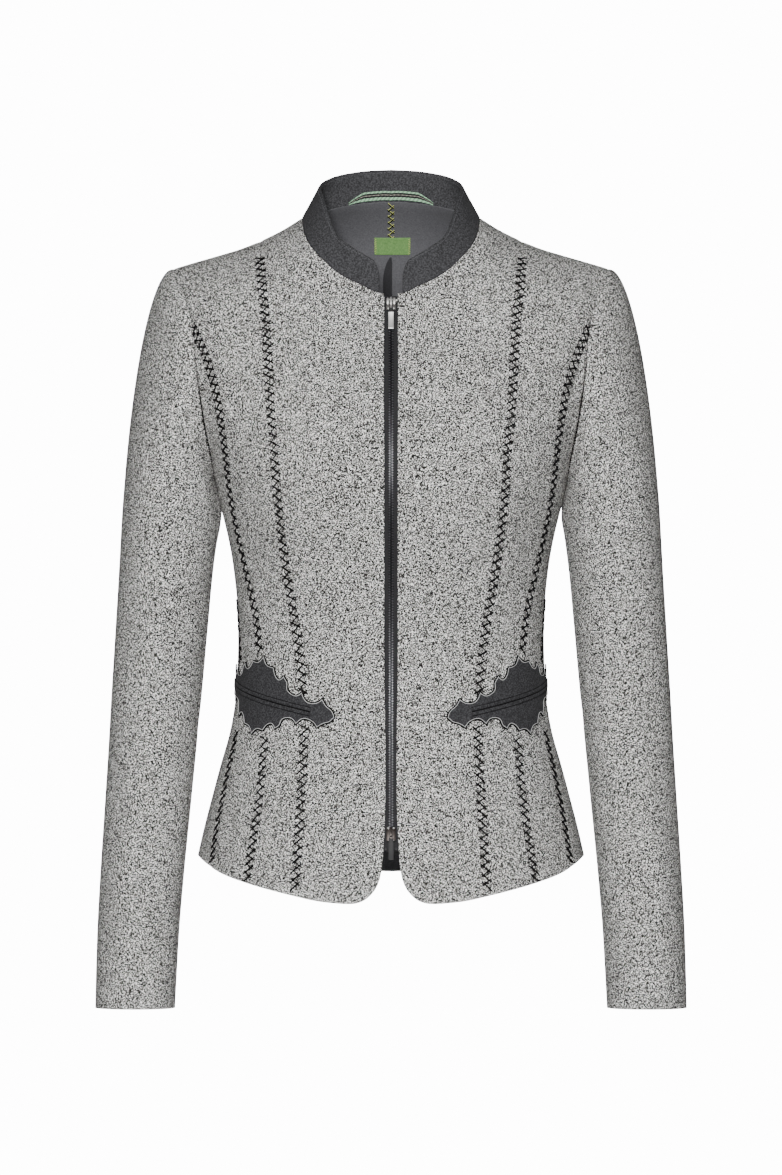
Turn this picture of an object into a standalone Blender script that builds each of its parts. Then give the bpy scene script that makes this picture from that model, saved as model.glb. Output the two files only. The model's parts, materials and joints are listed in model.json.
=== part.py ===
"""A fitted loden jacket, hollow as if worn: seamed wool panels, two-piece sleeves, stand collar and zip.

Sizes below are in millimetres. +Z is up and the jacket faces -Y, so the wearer's left is at +X.
The origin is the middle of the neck, level with the inner ends of the shoulder seams.

The body is one smooth surface with two coordinates on each half:
  around  0 at the centre front, 1 at the side, 2 at the centre back
  down    how far a point lies below the shoulder seam, over the roll of the shoulder
Every panel is a grid stretched between seams that are drawn on that surface.
"""
import math

import bmesh
import bpy
import numpy as np
from mathutils import Matrix, Vector

MM = 0.001

# ---- cloth and seams ----
CLOTH = 1.6            # wall of the wool cloth
SEAM_GAP = 0.3         # between two pieces that are sewn together
ARMHOLE_GAP = 0.45     # the sleeve's edge turns sharply here and needs a little more
LAYER_GAP = 0.3        # between a piece and the cloth it lies on
LINING_GAP = 0.75      # the lining hangs a little clear of the wool
LINING = 0.8
COLLAR_CLOTH = 1.2
APPLIQUE_CLOTH = 1.2
TAPE_CLOTH = 0.9

# ---- the body ----
SHOULDER_ROLL = 52.0   # depth over which the surface turns over the shoulder
SEAM_SET_BACK = 8.0    # the shoulder seam lies this far behind the side line
ROUNDNESS = 2.35       # power of the body's cross-section, 2 being an ellipse
ASPECT = 1.35          # width to depth of the section, for spacing points evenly
BUST_FULLNESS = 8.0
BUST_X, BUST_Z, BUST_WIDE, BUST_TALL = 82.0, -236.0, 50.0, 58.0

TORSO = (
    # height, half width, front depth, back depth
    (-640, 184, 152, 158),
    (-580, 173, 135, 138),
    (-545, 164.5, 128, 127),
    (-515, 157.5, 121, 117),
    (-490, 151, 115, 109),
    (-464, 144, 109, 101),
    (-438, 136.6, 104, 94),
    (-413, 132, 100, 88.5),
    (-386, 130, 98, 85),
    (-355, 129.2, 98, 84.5),
    (-324, 130.3, 101, 87),
    (-298, 133, 106, 91),
    (-273, 137.3, 112, 95.5),
    (-247, 143.5, 117.5, 99.5),
    (-222, 150.5, 120, 102),
    (-205, 155.3, 119.5, 103),
    (-171, 169, 114, 104),
    (-128, 183, 101, 101.5),
    (-88, 189, 84, 93),
    (-66, 193, 74, 86),
    (-42, 197, 63, 76),
    (-20, 199, 53, 67),
    (0, 200, 45, 60),
    (40, 202, 30, 48),
)
SHOULDER_LINE = (
    # distance from the centre, height of the shoulder seam's crest
    (0, 33),
    (20, 30),
    (40, 21.5),
    (60, 10.5),
    (76, 0),
    (91, -9.4),
    (108, -17.9),
    (129, -26.4),
    (143, -30.6),
    (158, -34.9),
    (173, -39.1),
    (189, -43.6),
    (215, -51),
)
NECK_SIDE = 75.8       # inner end of the shoulder seam
PRINCESS_TOP = 111.0   # where the princess seams cross the shoulder seam
SHOULDER_TIP = 185.7   # outer end of the shoulder seam
FRONT_EDGE = 5.7       # each front stops this far from the centre, along the zip
UNDERARM = (1.05, -222.0)   # around, height: top of the side seam

# ---- seams: rows of height and distance from the centre ----
FRONT_NECKLINE = ((-65.8, 5.7), (-65.4, 10), (-63, 17), (-59.7, 22.5), (-54.4, 34.4), (-47, 46.3),
                  (-35.7, 58.6), (-23.8, 68.6), (-11.5, 73.8), (0, 75.8))
BACK_NECKLINE = ((14, 0), (13.3, 20), (10.8, 40), (6.8, 58), (3, 70), (0, 75.8))
FRONT_PRINCESS = ((-19.2, 111), (-36, 110.5), (-57, 108.6), (-82, 106.1), (-126, 103), (-187, 98.5),
                  (-230, 95.5), (-273, 91), (-315, 85), (-358, 78), (-404, 73.5), (-456, 73.5),
                  (-510, 76.5), (-571.3, 80.5))
ARMHOLE_PRINCESS = ((-90, 168.5), (-104, 162), (-118, 156), (-131, 151.7), (-148, 147), (-171, 143),
                    (-213, 137.8), (-263, 130), (-301, 121.5), (-334, 114), (-370, 110), (-404, 107),
                    (-440, 106), (-480, 109), (-520, 114.5), (-560.6, 121))
BACK_PRINCESS = ((-19.2, 111), (-60, 109), (-120, 104), (-190, 96), (-260, 83), (-320, 71), (-370, 65),
                 (-420, 67), (-480, 74), (-555, 84))
FRONT_ARMHOLE = ((-42.5, 185.7), (-55, 179.5), (-69, 174.2), (-88, 169), (-128, 165), (-171, 159.4),
                 (-198, 154.5), (-214, 151.6))
BACK_ARMHOLE = ((-42.5, 185.7), (-55, 180.5), (-70, 176.3), (-95, 172), (-130, 168), (-165, 162.5),
                (-192, 156.5), (-210, 153))
SIDE_SEAM = (
    # height, around
    (-222, 1.05),
    (-280, 1.0),
    (-334, 0.91),
    (-370, 0.86),
    (-418, 0.815),
    (-450, 0.785),
    (-500, 0.755),
    (-550, 0.73),
)
HEM = (
    # around, height
    (0.166, -578),
    (0.25, -576),
    (0.345, -571.4),
    (0.54, -561),
    (0.66, -554),
    (0.75, -548),
    (0.86, -542.5),
    (1.0, -540.5),
    (1.2, -543),
    (1.5, -551),
    (1.8, -557),
    (2.0, -558.5),
)
# the front edge's lower end swings out and turns into the hem round a soft corner
FRONT_EDGE_LINE = ((-65.8, 5.7), (-200, 5.7), (-360, 5.7), (-520, 5.7), (-534, 6.5), (-552, 8.2),
                   (-560.5, 10.4), (-566, 13.2))
FRONT_CORNER = ((-566, 13.2), (-570.8, 17.3), (-575, 22.6), (-577.6, 30), (-578, 37))

# ---- how many cells each seam is divided into ----
LINE_POINTS = 120           # points on a seam before it is divided
NECK_CELLS_FRONT = 7        # from the collar's end to the shoulder seam
NECK_CELLS_BACK = 5
FRONT_WIDTH_CELLS = 6       # across each centre front
CORNER_CELLS = 3            # of those, round the front's lower corner
BACK_SHOULDER_CELLS = 2     # neck to princess seam
OUTER_SHOULDER_CELLS = 5    # princess seam to shoulder tip
BACK_SPLIT = 2              # of those on the back, from the side: a seam here gives two narrower panels
ARMHOLE_CELLS_UPPER = 4     # shoulder tip to the armhole princess seam
ARMHOLE_CELLS_LOWER = 8     # on to the underarm
ARMHOLE_CELLS_BACK = 10     # underarm back up to the shoulder tip
END_FADE = 3                # how fast the shape of a panel's ends dies away towards its middle
SIDE_CELLS = 17             # hem to armhole; both pieces at a seam have the same cells along it
FRONT_CELLS = SIDE_CELLS + ARMHOLE_CELLS_UPPER
BACK_CELLS = SIDE_CELLS + ARMHOLE_CELLS_BACK

# ---- sleeves ----
CAP_RINGS = 8
CAP_FLARE = 60.0       # how strongly the sleeve head carries on outwards before it turns down
CAP_PULL = 1.5         # how strongly it settles into the sleeve's own line below
CAP_EASE = 0.6         # how the flare dies away from the shoulder tip to the underarm
CAP_STEP = 10.0        # distance over which the sleeve's own line is taken
CAP_TOP, CAP_SIDE, CAP_UNDER = (1.0, 0.0, -0.17), (0.62, 0.5, -0.6), (0.6, 0.0, -1.0)
SLEEVE_RINGS = (-262, -318, -388, -458, -530, -602, -668.5)
SLEEVE = (
    # height, centre out from the middle, half width, centre forward (-) or back, half depth
    (-262, 187.8, 40.6, 4, 55),
    (-300, 191.2, 39.2, 4, 53.5),
    (-350, 195, 38.4, 2.5, 51),
    (-400, 198.8, 37.7, -0.5, 48.5),
    (-450, 202.6, 36.7, -6, 46),
    (-500, 206.5, 35.8, -14, 43.5),
    (-550, 210.4, 34.9, -24, 41.5),
    (-600, 213.7, 34.1, -34, 39.5),
    (-640, 215.3, 33.5, -41.5, 38.3),
    (-668.5, 216.2, 33.0, -46.5, 37.6),
)
FOREARM_SEAM = 11      # armhole cell where the sleeve's front seam starts
HINDARM_SEAM = 16      # armhole cell where the sleeve's back seam starts

# ---- collar ----
COLLAR_START = 10.0    # the collar's front end lies this far from the centre
COLLAR_TOP = (
    # share of the way round from front end to centre back, x, y, height of the top edge
    (0.0, 14.6, -66.5, -37.0),
    (0.045, 22.5, -65.0, -32.3),
    (0.14, 34.4, -60.5, -24.9),
    (0.28, 46.3, -50.0, -14.0),
    (0.40, 53.6, -34.5, 5.0),
    (0.51, 58.0, -16.0, 19.5),
    (0.60, 60.4, 3.0, 27.0),
    (0.70, 57.0, 21.0, 33.0),
    (0.80, 45.5, 36.0, 38.4),
    (0.90, 24.0, 45.6, 42.4),
    (1.0, 0.0, 48.6, 43.8),
)
COLLAR_ROWS = 3
COLLAR_HEIGHT = 30.0
COLLAR_CORNER = 0.03   # how far the front corner is rounded off, as a share of the top edge
CORNER_REACH = 0.12    # the rounding dies away over this share of it

# ---- zip ----
TAPE_IN, TAPE_OUT = 2.9, 13.5
TAPE_GAP = 1.4         # behind the fronts, clear of their facets
END_CLEAR = 4.0        # the zip's ends keep this far from the front edge's nearest point
CHAIN_HALF_WIDTH = 2.6
CHAIN_THICK = 2.2
ZIP_TOP, CHAIN_TOP, CHAIN_FOOT, ZIP_FOOT = -67.0, -73.5, -514.0, -533.0
TOP_SLIDER_AT, FOOT_SLIDER_AT = -72.3, -519.6   # heights of the two sliders' middles
SLIDER_WIDE, SLIDER_TALL, SLIDER_PLATE = 8.2, 12.0, 1.0
BRIDGE_WIDE, BRIDGE_TALL, BRIDGE_HIGH, BRIDGE_BAR = 1.5, 5.4, 2.5, 0.8
SLIDER_CLEAR = 0.4      # between the plates and the teeth
SLIDER_BEVEL = 1.6
POST_HALF, POST_TALL = 1.0, 2.6
BITE = 0.5              # how far joined blocks run into each other
TILT_STEP = 2.0         # distance over which the zip's slope is taken
TAB_WIDE, TAB_LONG, TAB_THICK, TAB_BAR = 5.0, 23.0, 1.0, 0.9
TAB_PLAY, WINDOW_CLEAR = 0.4, 1.0       # beside the bridge, and past its end
PIVOT_HIGH = 1.3        # the tab's axis above the slider's face

# ---- pockets ----
POCKET_AT = (-111.0, -406.0)    # distance from the centre (to the right front) and height of its middle
POCKET_SLANT = math.radians(13.0)
SLIT_HALF, WELT_WIDE, WELT_GAP = 54.0, 3.0, 0.4
POCKET_STRIP = 8.0              # width of the strips in which the flat shape bends round the body
POCKET_LIFT = 0.9               # above the wool, clear of its facets
POCKET_LOWER = 0.9              # height of the lower edge against the upper
POCKET_EDGE = (
    # one quarter of the edge, from the front tip to the top: distance along the slit, distance across it
    (76.0, 0.0),
    (72.5, 5.5),
    (67.0, 9.0),
    (62.0, 14.0),
    (57.5, 9.5),
    (50.0, 8.5),
    (43.5, 15.5),
    (39.0, 11.5),
    (31.5, 13.5),
    (29.0, 20.5),
    (24.5, 25.0),
    (20.5, 21.0),
    (16.5, 23.5),
    (13.0, 29.5),
    (6.0, 30.0),
    (0.0, 36.5),
)

# ---- small pieces inside the neck ----
LABEL_WIDE, LABEL_TALL, LABEL_THICK = 30.0, 14.5, 0.6
LABEL_TOP, LABEL_CELLS = -15.5, 4
LOOP_HALF, LOOP_WIDE, LOOP_THICK = 36.0, 6.4, 0.9
LOOP_FOOT, LOOP_RISE, LOOP_BOW = 0.6, 3.0, 1.2      # above the seam at its ends, rise, and bow off the collar
LOOP_SLOPE, LOOP_TIP = 0.35, 0.3        # the slanted ends' share of its half length, and their narrowest share
LOOP_CELLS = 10
LINING_SHORT = 0.45     # its hem lies this share of a cell above the hem of the wool
LINING_INSET = 1.0      # its edges stop short of the seams
PLEAT_FROM, PLEAT_OPENS, PLEAT_RISE = -32.0, 20.0, 1.5

# ---- colours: red, green, blue, then roughness and metal ----
TWEED = (0.36, 0.35, 0.345, 0.95, 0.0)
TWEED_SHADE = (0.33, 0.32, 0.315, 0.95, 0.0)
CHARCOAL = (0.045, 0.045, 0.05, 0.9, 0.0)
LINING_SATIN = (0.09, 0.088, 0.1, 0.5, 0.0)
ZIP_CLOTH = (0.03, 0.03, 0.032, 0.85, 0.0)
ZIP_METAL = (0.12, 0.12, 0.125, 0.35, 1.0)
NICKEL = (0.6, 0.6, 0.58, 0.3, 1.0)
GREEN = (0.13, 0.22, 0.08, 0.8, 0.0)


# ======================================================================= curves
def smooth(knots, values):
    """A smooth curve through a table's values, carried on straight past its ends."""
    knots = np.asarray(knots, float)
    values = np.asarray(values, float)
    slopes = np.gradient(values, knots)

    def at(where):
        where = np.asarray(where, float)
        i = np.clip(np.searchsorted(knots, where) - 1, 0, len(knots) - 2)
        span = knots[i + 1] - knots[i]
        w = (where - knots[i]) / span
        c = np.clip(w, 0.0, 1.0)
        inside = ((1 + 2 * c) * (1 - c) ** 2 * values[i] + c * (1 - c) ** 2 * span * slopes[i]
                  + c * c * (3 - 2 * c) * values[i + 1] + c * c * (c - 1) * span * slopes[i + 1])
        past = np.where(w > 1, slopes[i + 1], slopes[i]) * (w - c) * span
        return inside + past

    return at


def column(table, number):
    return [row[number] for row in table]


half_width = smooth(column(TORSO, 0), column(TORSO, 1))
front_depth = smooth(column(TORSO, 0), column(TORSO, 2))
back_depth = smooth(column(TORSO, 0), column(TORSO, 3))
crest_mirrored = ([(-x, z) for x, z in SHOULDER_LINE[:0:-1]] + list(SHOULDER_LINE))
crest = smooth(column(crest_mirrored, 0), column(crest_mirrored, 1))
hem_height = smooth(column(HEM, 0), column(HEM, 1))


def quarter_section():
    """A quarter of the body's cross-section, spaced evenly: share of the way, width, depth."""
    turn = np.linspace(0, math.pi / 2, 2001)
    wide = np.sin(turn) ** (2 / ROUNDNESS)
    deep = np.cos(turn) ** (2 / ROUNDNESS)
    steps = np.hypot(ASPECT * np.diff(wide), np.diff(deep))
    way = np.concatenate([[0], np.cumsum(steps)])
    return way / way[-1], wide, deep


SECTION_WAY, SECTION_WIDE, SECTION_DEEP = quarter_section()


# ======================================================================= the body's surface
def body(around, down):
    """Points of the half at +X, from their two coordinates on the surface."""
    around, down = np.broadcast_arrays(np.asarray(around, float), np.asarray(down, float))
    quarter = np.where(around <= 1, np.abs(around), 2 - around)
    sign_x = np.where((around < 0) | (around > 2), -1.0, 1.0)
    wide = np.interp(np.abs(quarter), SECTION_WAY, SECTION_WIDE)
    deep = np.interp(np.abs(quarter), SECTION_WAY, SECTION_DEEP)
    turn = np.clip(down / SHOULDER_ROLL, 0, math.pi / 2)
    drop = SHOULDER_ROLL * (1 - np.cos(turn)) + np.maximum(down - SHOULDER_ROLL * math.pi / 2, 0)
    z = -drop
    for _ in range(30):
        x = half_width(z) * wide
        z = crest(x) - drop
    x = half_width(z) * wide
    depth = np.where(around <= 1, -front_depth(z), back_depth(z))
    y = depth * deep * np.sin(turn) + SEAM_SET_BACK * (1 - np.sin(turn))
    bust = np.exp(-((x - BUST_X) / BUST_WIDE) ** 2 - ((z - BUST_Z) / BUST_TALL) ** 2)
    y = np.where(around <= 1, y - BUST_FULLNESS * bust * deep, y)
    return np.stack([x * sign_x, y, z], axis=-1)


def body_normal(around, down):
    step_a, step_d = 0.004, 0.6
    across = body(around + step_a, down) - body(around - step_a, down)
    along = body(around, np.maximum(down, 0.0) + step_d) - body(around, np.maximum(down - step_d, 0.0))
    normal = np.cross(along, across)
    return normal / np.linalg.norm(normal, axis=-1, keepdims=True)


def down_from(z, x):
    """The coordinate down of a height, at a distance from the centre."""
    drop = np.maximum(crest(x) - z, 0.0)
    turn = np.arccos(np.clip(1 - drop / SHOULDER_ROLL, 0, 1))
    return SHOULDER_ROLL * turn + np.maximum(drop - SHOULDER_ROLL, 0)


def locate(z, x, back=False):
    """Around and down of a point given by height and distance from the centre."""
    quarter = np.interp(np.clip(x / half_width(z), 0, 1), SECTION_WIDE, SECTION_WAY)
    around = 2 - quarter if back else quarter
    return np.stack([around, down_from(z, np.asarray(x, float))], axis=-1)


def locate_around(z, around):
    """Around and down of a point given by height and around."""
    quarter = np.where(around <= 1, around, 2 - around)
    x = half_width(z) * np.interp(quarter, SECTION_WAY, SECTION_WIDE)
    return np.stack([np.broadcast_to(around, x.shape), down_from(z, x)], axis=-1)


# ======================================================================= seams as lines on the surface
def seam_line(rows, back=False):
    """A smooth line on the body through rows of height and distance from the centre."""
    return smooth_line(np.array([locate(z, x, back) for z, x in rows]))


def smooth_line(marks):
    steps = np.linalg.norm(np.diff(body(marks[:, 0], marks[:, 1]), axis=0), axis=1)
    way = np.concatenate([[0], np.cumsum(steps)])
    fine = np.linspace(0, way[-1], LINE_POINTS)
    return np.stack([smooth(way, marks[:, 0])(fine), smooth(way, marks[:, 1])(fine)], axis=-1)


def spaced(line, cells):
    """The line cut into equal cells, measured on the body."""
    steps = np.linalg.norm(np.diff(body(line[:, 0], line[:, 1]), axis=0), axis=1)
    way = np.concatenate([[0], np.cumsum(steps)])
    marks = np.linspace(0, way[-1], cells + 1)
    return np.stack([np.interp(marks, way, line[:, 0]), np.interp(marks, way, line[:, 1])], axis=-1)


def joined(*lines):
    """Lines end to end, with the points that they share given once."""
    return np.concatenate([lines[0]] + [line[1:] for line in lines[1:]])


def hem_line(start, stop, cells):
    around = np.linspace(start, stop, LINE_POINTS)
    return spaced(locate_around(hem_height(around), around), cells)


def shoulder_line(start, stop, cells, back=False):
    x = np.linspace(start, stop, LINE_POINTS)
    line = np.array([locate(crest(v), v, back) for v in x])
    line[:, 1] = 0.0
    return spaced(line, cells)


def armhole_lines():
    """The armhole in three stretches: tip to princess seam, on to the underarm, and back up to the tip."""
    under = locate_around(UNDERARM[1], np.array(UNDERARM[0]))
    front = smooth_line(np.array([locate(z, x) for z, x in FRONT_ARMHOLE] + [under]))
    back = smooth_line(np.array([locate(z, x, True) for z, x in BACK_ARMHOLE] + [under]))
    front[0, 1] = back[0, 1] = 0.0
    princess = locate(*ARMHOLE_PRINCESS[0])
    split = int(np.argmin(np.linalg.norm(body(front[:, 0], front[:, 1]) - body(*princess), axis=1)))
    return (spaced(front[:split + 1], ARMHOLE_CELLS_UPPER), spaced(front[split:], ARMHOLE_CELLS_LOWER),
            spaced(back[::-1], ARMHOLE_CELLS_BACK))


# ======================================================================= grids between four seams
def stretched(foot, head, left, right, fade=END_FADE):
    """A grid between four lines: foot and head run left to right, left and right run foot to head."""
    u = np.linspace(0, 1, len(foot))[None, :, None]
    v = np.linspace(0, 1, len(left))[:, None, None]
    sides = left[:, None] * (1 - u) + right[:, None] * u
    foot_bend = foot[None] - foot[0] * (1 - u) - foot[-1] * u
    head_bend = head[None] - head[0] * (1 - u) - head[-1] * u
    return sides + foot_bend * (1 - v) ** fade + head_bend * v ** fade


def inset(points, normals, edges, amount=SEAM_GAP / 2, head_part=slice(None)):
    """Draws chosen edges of a grid inwards along the surface: any of foot, head, left and right."""
    out = points.copy()
    moves = {"foot": (0, 1, 0), "head": (-1, -2, 0), "left": (0, 1, 1), "right": (-1, -2, 1)}
    for edge in edges:
        outer, inner, axis = moves[edge]
        rim = points.take(outer, axis=axis)
        inward = points.take(inner, axis=axis) - rim
        tangent = np.gradient(rim, axis=0)
        normal = normals.take(outer, axis=axis)
        direction = np.cross(tangent, normal)
        direction /= np.linalg.norm(direction, axis=-1, keepdims=True)
        direction *= np.sign(np.sum(direction * inward, axis=-1, keepdims=True))
        if axis == 0:
            part = head_part if edge == "head" else slice(None)
            out[outer, part] += amount * direction[part]
        else:
            out[:, outer] += amount * direction
    return out


def mirrored(points):
    """The other half of a grid, turned so that it faces the same way."""
    flip = points.copy()
    flip[..., 0] *= -1
    return flip[:, ::-1]


def both_halves(half):
    """A grid over both halves from one that ends at the centre."""
    return np.concatenate([half, mirrored(half)[:, 1:]], axis=1)


# ======================================================================= solids
materials = {}


def material(name, look):
    if name not in materials:
        made = bpy.data.materials.new(name)
        made.use_nodes = True
        shader = made.node_tree.nodes["Principled BSDF"]
        shader.inputs["Base Color"].default_value = (*look[:3], 1)
        shader.inputs["Roughness"].default_value = look[3]
        shader.inputs["Metallic"].default_value = look[4]
        made.diffuse_color = (*look[:3], 1)
        materials[name] = made
    return materials[name]


def finish(name, mesh_maker, finish_name, look, smooth_shade=True):
    """Turns a bmesh into a named object with outward faces."""
    bmesh.ops.recalc_face_normals(mesh_maker, faces=mesh_maker.faces[:])
    mesh = bpy.data.meshes.new(name)
    mesh_maker.to_mesh(mesh)
    mesh_maker.free()
    if smooth_shade:
        mesh.shade_smooth()
        mesh.set_sharp_from_angle(angle=math.radians(50))
    piece = bpy.data.objects.new(name, mesh)
    mesh.materials.append(material(finish_name, look))
    bpy.context.collection.objects.link(piece)
    return piece


def wall(name, points, normals, thickness, finish_name, look):
    """A cloth wall about a grid of points: a flat grid is bent to its outer face and extruded inwards."""
    rows, columns = points.shape[0] - 1, points.shape[1] - 1
    outer = points + normals * thickness / 2
    inner = points - normals * thickness / 2
    bm = bmesh.new()
    bmesh.ops.create_grid(bm, x_segments=columns, y_segments=rows, size=1)
    place = {v: (round((v.co.y + 1) / 2 * rows), round((v.co.x + 1) / 2 * columns)) for v in bm.verts}
    inside = {}
    made = bmesh.ops.extrude_face_region(bm, geom=bm.faces[:])
    for v in (g for g in made["geom"] if isinstance(g, bmesh.types.BMVert)):
        inside[v] = (round((v.co.y + 1) / 2 * rows), round((v.co.x + 1) / 2 * columns))
    for v, cell in place.items():
        v.co = Vector(outer[cell]) * MM
    for v, cell in inside.items():
        v.co = Vector(inner[cell]) * MM
    return finish(name, bm, finish_name, look)


def box(bm, low, high):
    made = bmesh.ops.create_cube(bm, size=1)
    low, high = Vector(low), Vector(high)
    for v in made["verts"]:
        v.co = Vector((low[i] + (v.co[i] + 0.5) * (high[i] - low[i]) for i in range(3)))
    return made["verts"]


# ======================================================================= seams of one half
def hem_point(around):
    return locate_around(hem_height(around), np.array(around))


def to_hem(line):
    """A seam that starts exactly on the hem."""
    line = line.copy()
    line[0] = hem_point(line[0][0])
    return line


def princess_lines():
    front = to_hem(seam_line(FRONT_PRINCESS[::-1]))
    back = to_hem(seam_line(BACK_PRINCESS[::-1], back=True))
    front[-1, 1] = back[-1, 1] = 0.0
    return front, back


def side_lines(armhole_start, underarm):
    princess = to_hem(seam_line(ARMHOLE_PRINCESS[::-1]))
    princess[-1] = armhole_start
    heights, turns = np.array(column(SIDE_SEAM, 0)), np.array(column(SIDE_SEAM, 1))
    side = to_hem(smooth_line(locate_around(heights[::-1], turns[::-1])))
    side[-1] = underarm
    return princess, side


def neck_lines():
    """The neckline: zip to collar end, on to the shoulder seam, and from there to the centre back."""
    start = [row for row in FRONT_NECKLINE if row[1] <= COLLAR_START]
    rest = [row for row in FRONT_NECKLINE if row[1] >= COLLAR_START]
    front = spaced(seam_line(rest), NECK_CELLS_FRONT)
    front[-1, 1] = 0.0
    back = spaced(seam_line(BACK_NECKLINE[::-1], back=True), NECK_CELLS_BACK)
    back[0, 1] = 0.0
    return spaced(seam_line(start), 1), front, back


# ======================================================================= body panels
def grids():
    """The five panels of one half, each a grid of around and down; columns run from front to back."""
    upper, lower, behind = armhole_lines()
    front_seam, back_seam = princess_lines()
    arm_seam, side_seam = side_lines(upper[-1], lower[-1])
    neck_start, neck_front, neck_back = neck_lines()
    front_edge = spaced(seam_line(FRONT_EDGE_LINE[::-1]), FRONT_CELLS - NECK_CELLS_FRONT - 1)
    hem_marks = [line[0][0] for line in (front_seam, arm_seam, side_seam, back_seam)]
    panels = {}

    foot = joined(spaced(seam_line(FRONT_CORNER), CORNER_CELLS),
                  hem_line(HEM[0][0], hem_marks[0], FRONT_WIDTH_CELLS - CORNER_CELLS))
    panels["centre_front"] = stretched(
        foot, shoulder_line(NECK_SIDE, PRINCESS_TOP, FRONT_WIDTH_CELLS),
        joined(front_edge, neck_start, neck_front), spaced(front_seam, FRONT_CELLS))

    panels["side_front"] = stretched(
        hem_line(hem_marks[0], hem_marks[1], OUTER_SHOULDER_CELLS),
        shoulder_line(PRINCESS_TOP, SHOULDER_TIP, OUTER_SHOULDER_CELLS),
        spaced(front_seam, FRONT_CELLS),
        joined(spaced(arm_seam, SIDE_CELLS), upper[::-1]))

    panels["side_panel"] = stretched(
        hem_line(hem_marks[1], hem_marks[2], ARMHOLE_CELLS_LOWER),
        lower, spaced(arm_seam, SIDE_CELLS), spaced(side_seam, SIDE_CELLS), fade=2 * END_FADE)

    panels["side_back"] = stretched(
        hem_line(hem_marks[2], hem_marks[3], OUTER_SHOULDER_CELLS),
        shoulder_line(SHOULDER_TIP, PRINCESS_TOP, OUTER_SHOULDER_CELLS, back=True),
        joined(spaced(side_seam, SIDE_CELLS), behind),
        spaced(back_seam, BACK_CELLS))

    head = joined(shoulder_line(PRINCESS_TOP, NECK_SIDE, BACK_SHOULDER_CELLS, back=True), neck_back)
    heights = np.linspace(hem_height(2.0), BACK_NECKLINE[0][0], LINE_POINTS)
    centre = np.array([locate_around(z, np.array(2.0)) for z in heights])
    panels["centre_back"] = stretched(
        hem_line(hem_marks[3], 2.0, len(head) - 1),
        head, spaced(back_seam, BACK_CELLS), spaced(centre, BACK_CELLS))
    return panels, joined(upper, lower, behind), joined(neck_front, neck_back)


def surface(grid):
    return body(grid[..., 0], grid[..., 1]), body_normal(grid[..., 0], grid[..., 1])


def make_body(panels):
    panels = dict(panels)
    panels["mid_back"] = panels["side_back"][:, BACK_SPLIT:]
    panels["side_back"] = panels["side_back"][:, :BACK_SPLIT + 1]
    for name, edges in (("centre_front", ("right", "head")), ("side_front", ("left", "right", "head")),
                        ("side_panel", ("left", "right")), ("side_back", ("left", "right", "head")),
                        ("mid_back", ("left", "right", "head"))):
        points, normals = surface(panels[name])
        points = inset(points, normals, edges)
        wall(name + "_left", points, normals, CLOTH, "wool_tweed", TWEED)
        wall(name + "_right", mirrored(points), mirrored(normals), CLOTH, "wool_tweed", TWEED)
    points, normals = surface(panels["centre_back"])
    points = inset(points, normals, ("left", "head"), head_part=slice(None, BACK_SHOULDER_CELLS + 1))
    wall("centre_back", both_halves(points), both_halves(normals), CLOTH, "wool_tweed", TWEED)


# ======================================================================= edges that turn at a seam
def turned_edge(edge, normal, thick, next_normal, next_thick, away, gap=SEAM_GAP):
    """Where the next wall starts if it meets this wall's edge at an angle, both keeping their thickness."""
    cosine = np.clip(np.sum(normal * next_normal, axis=-1, keepdims=True), -1, 1)
    half_turn = np.arccos(cosine) / 2
    inward_fold = np.where(np.sum(next_normal * away, axis=-1, keepdims=True) < 0, 1.0, -1.0)
    part = away * np.cos(half_turn) + inward_fold * normal * np.sin(half_turn)
    return edge + inward_fold * (normal * thick - next_normal * next_thick) / 2 + gap * part


def away_from_panel(points, normals, towards):
    """The direction along the cloth, square to its edge, that points off the panel."""
    direction = np.cross(np.gradient(points, axis=0), normals)
    direction /= np.linalg.norm(direction, axis=-1, keepdims=True)
    sign = np.sign(np.sum(direction * (towards - points), axis=-1, keepdims=True))
    return direction * np.where(sign == 0, 1, sign)


# ======================================================================= sleeves
def sleeve_ring(height, angle):
    out, half, forward, deep = (smooth(column(SLEEVE, 0)[::-1], column(SLEEVE, i)[::-1])(height)
                                for i in (1, 2, 3, 4))
    return np.stack([out + half * np.cos(angle), forward - deep * np.sin(angle),
                     np.full_like(angle, height)], axis=-1)


def unit(vectors):
    return vectors / np.linalg.norm(vectors, axis=-1, keepdims=True)


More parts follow.
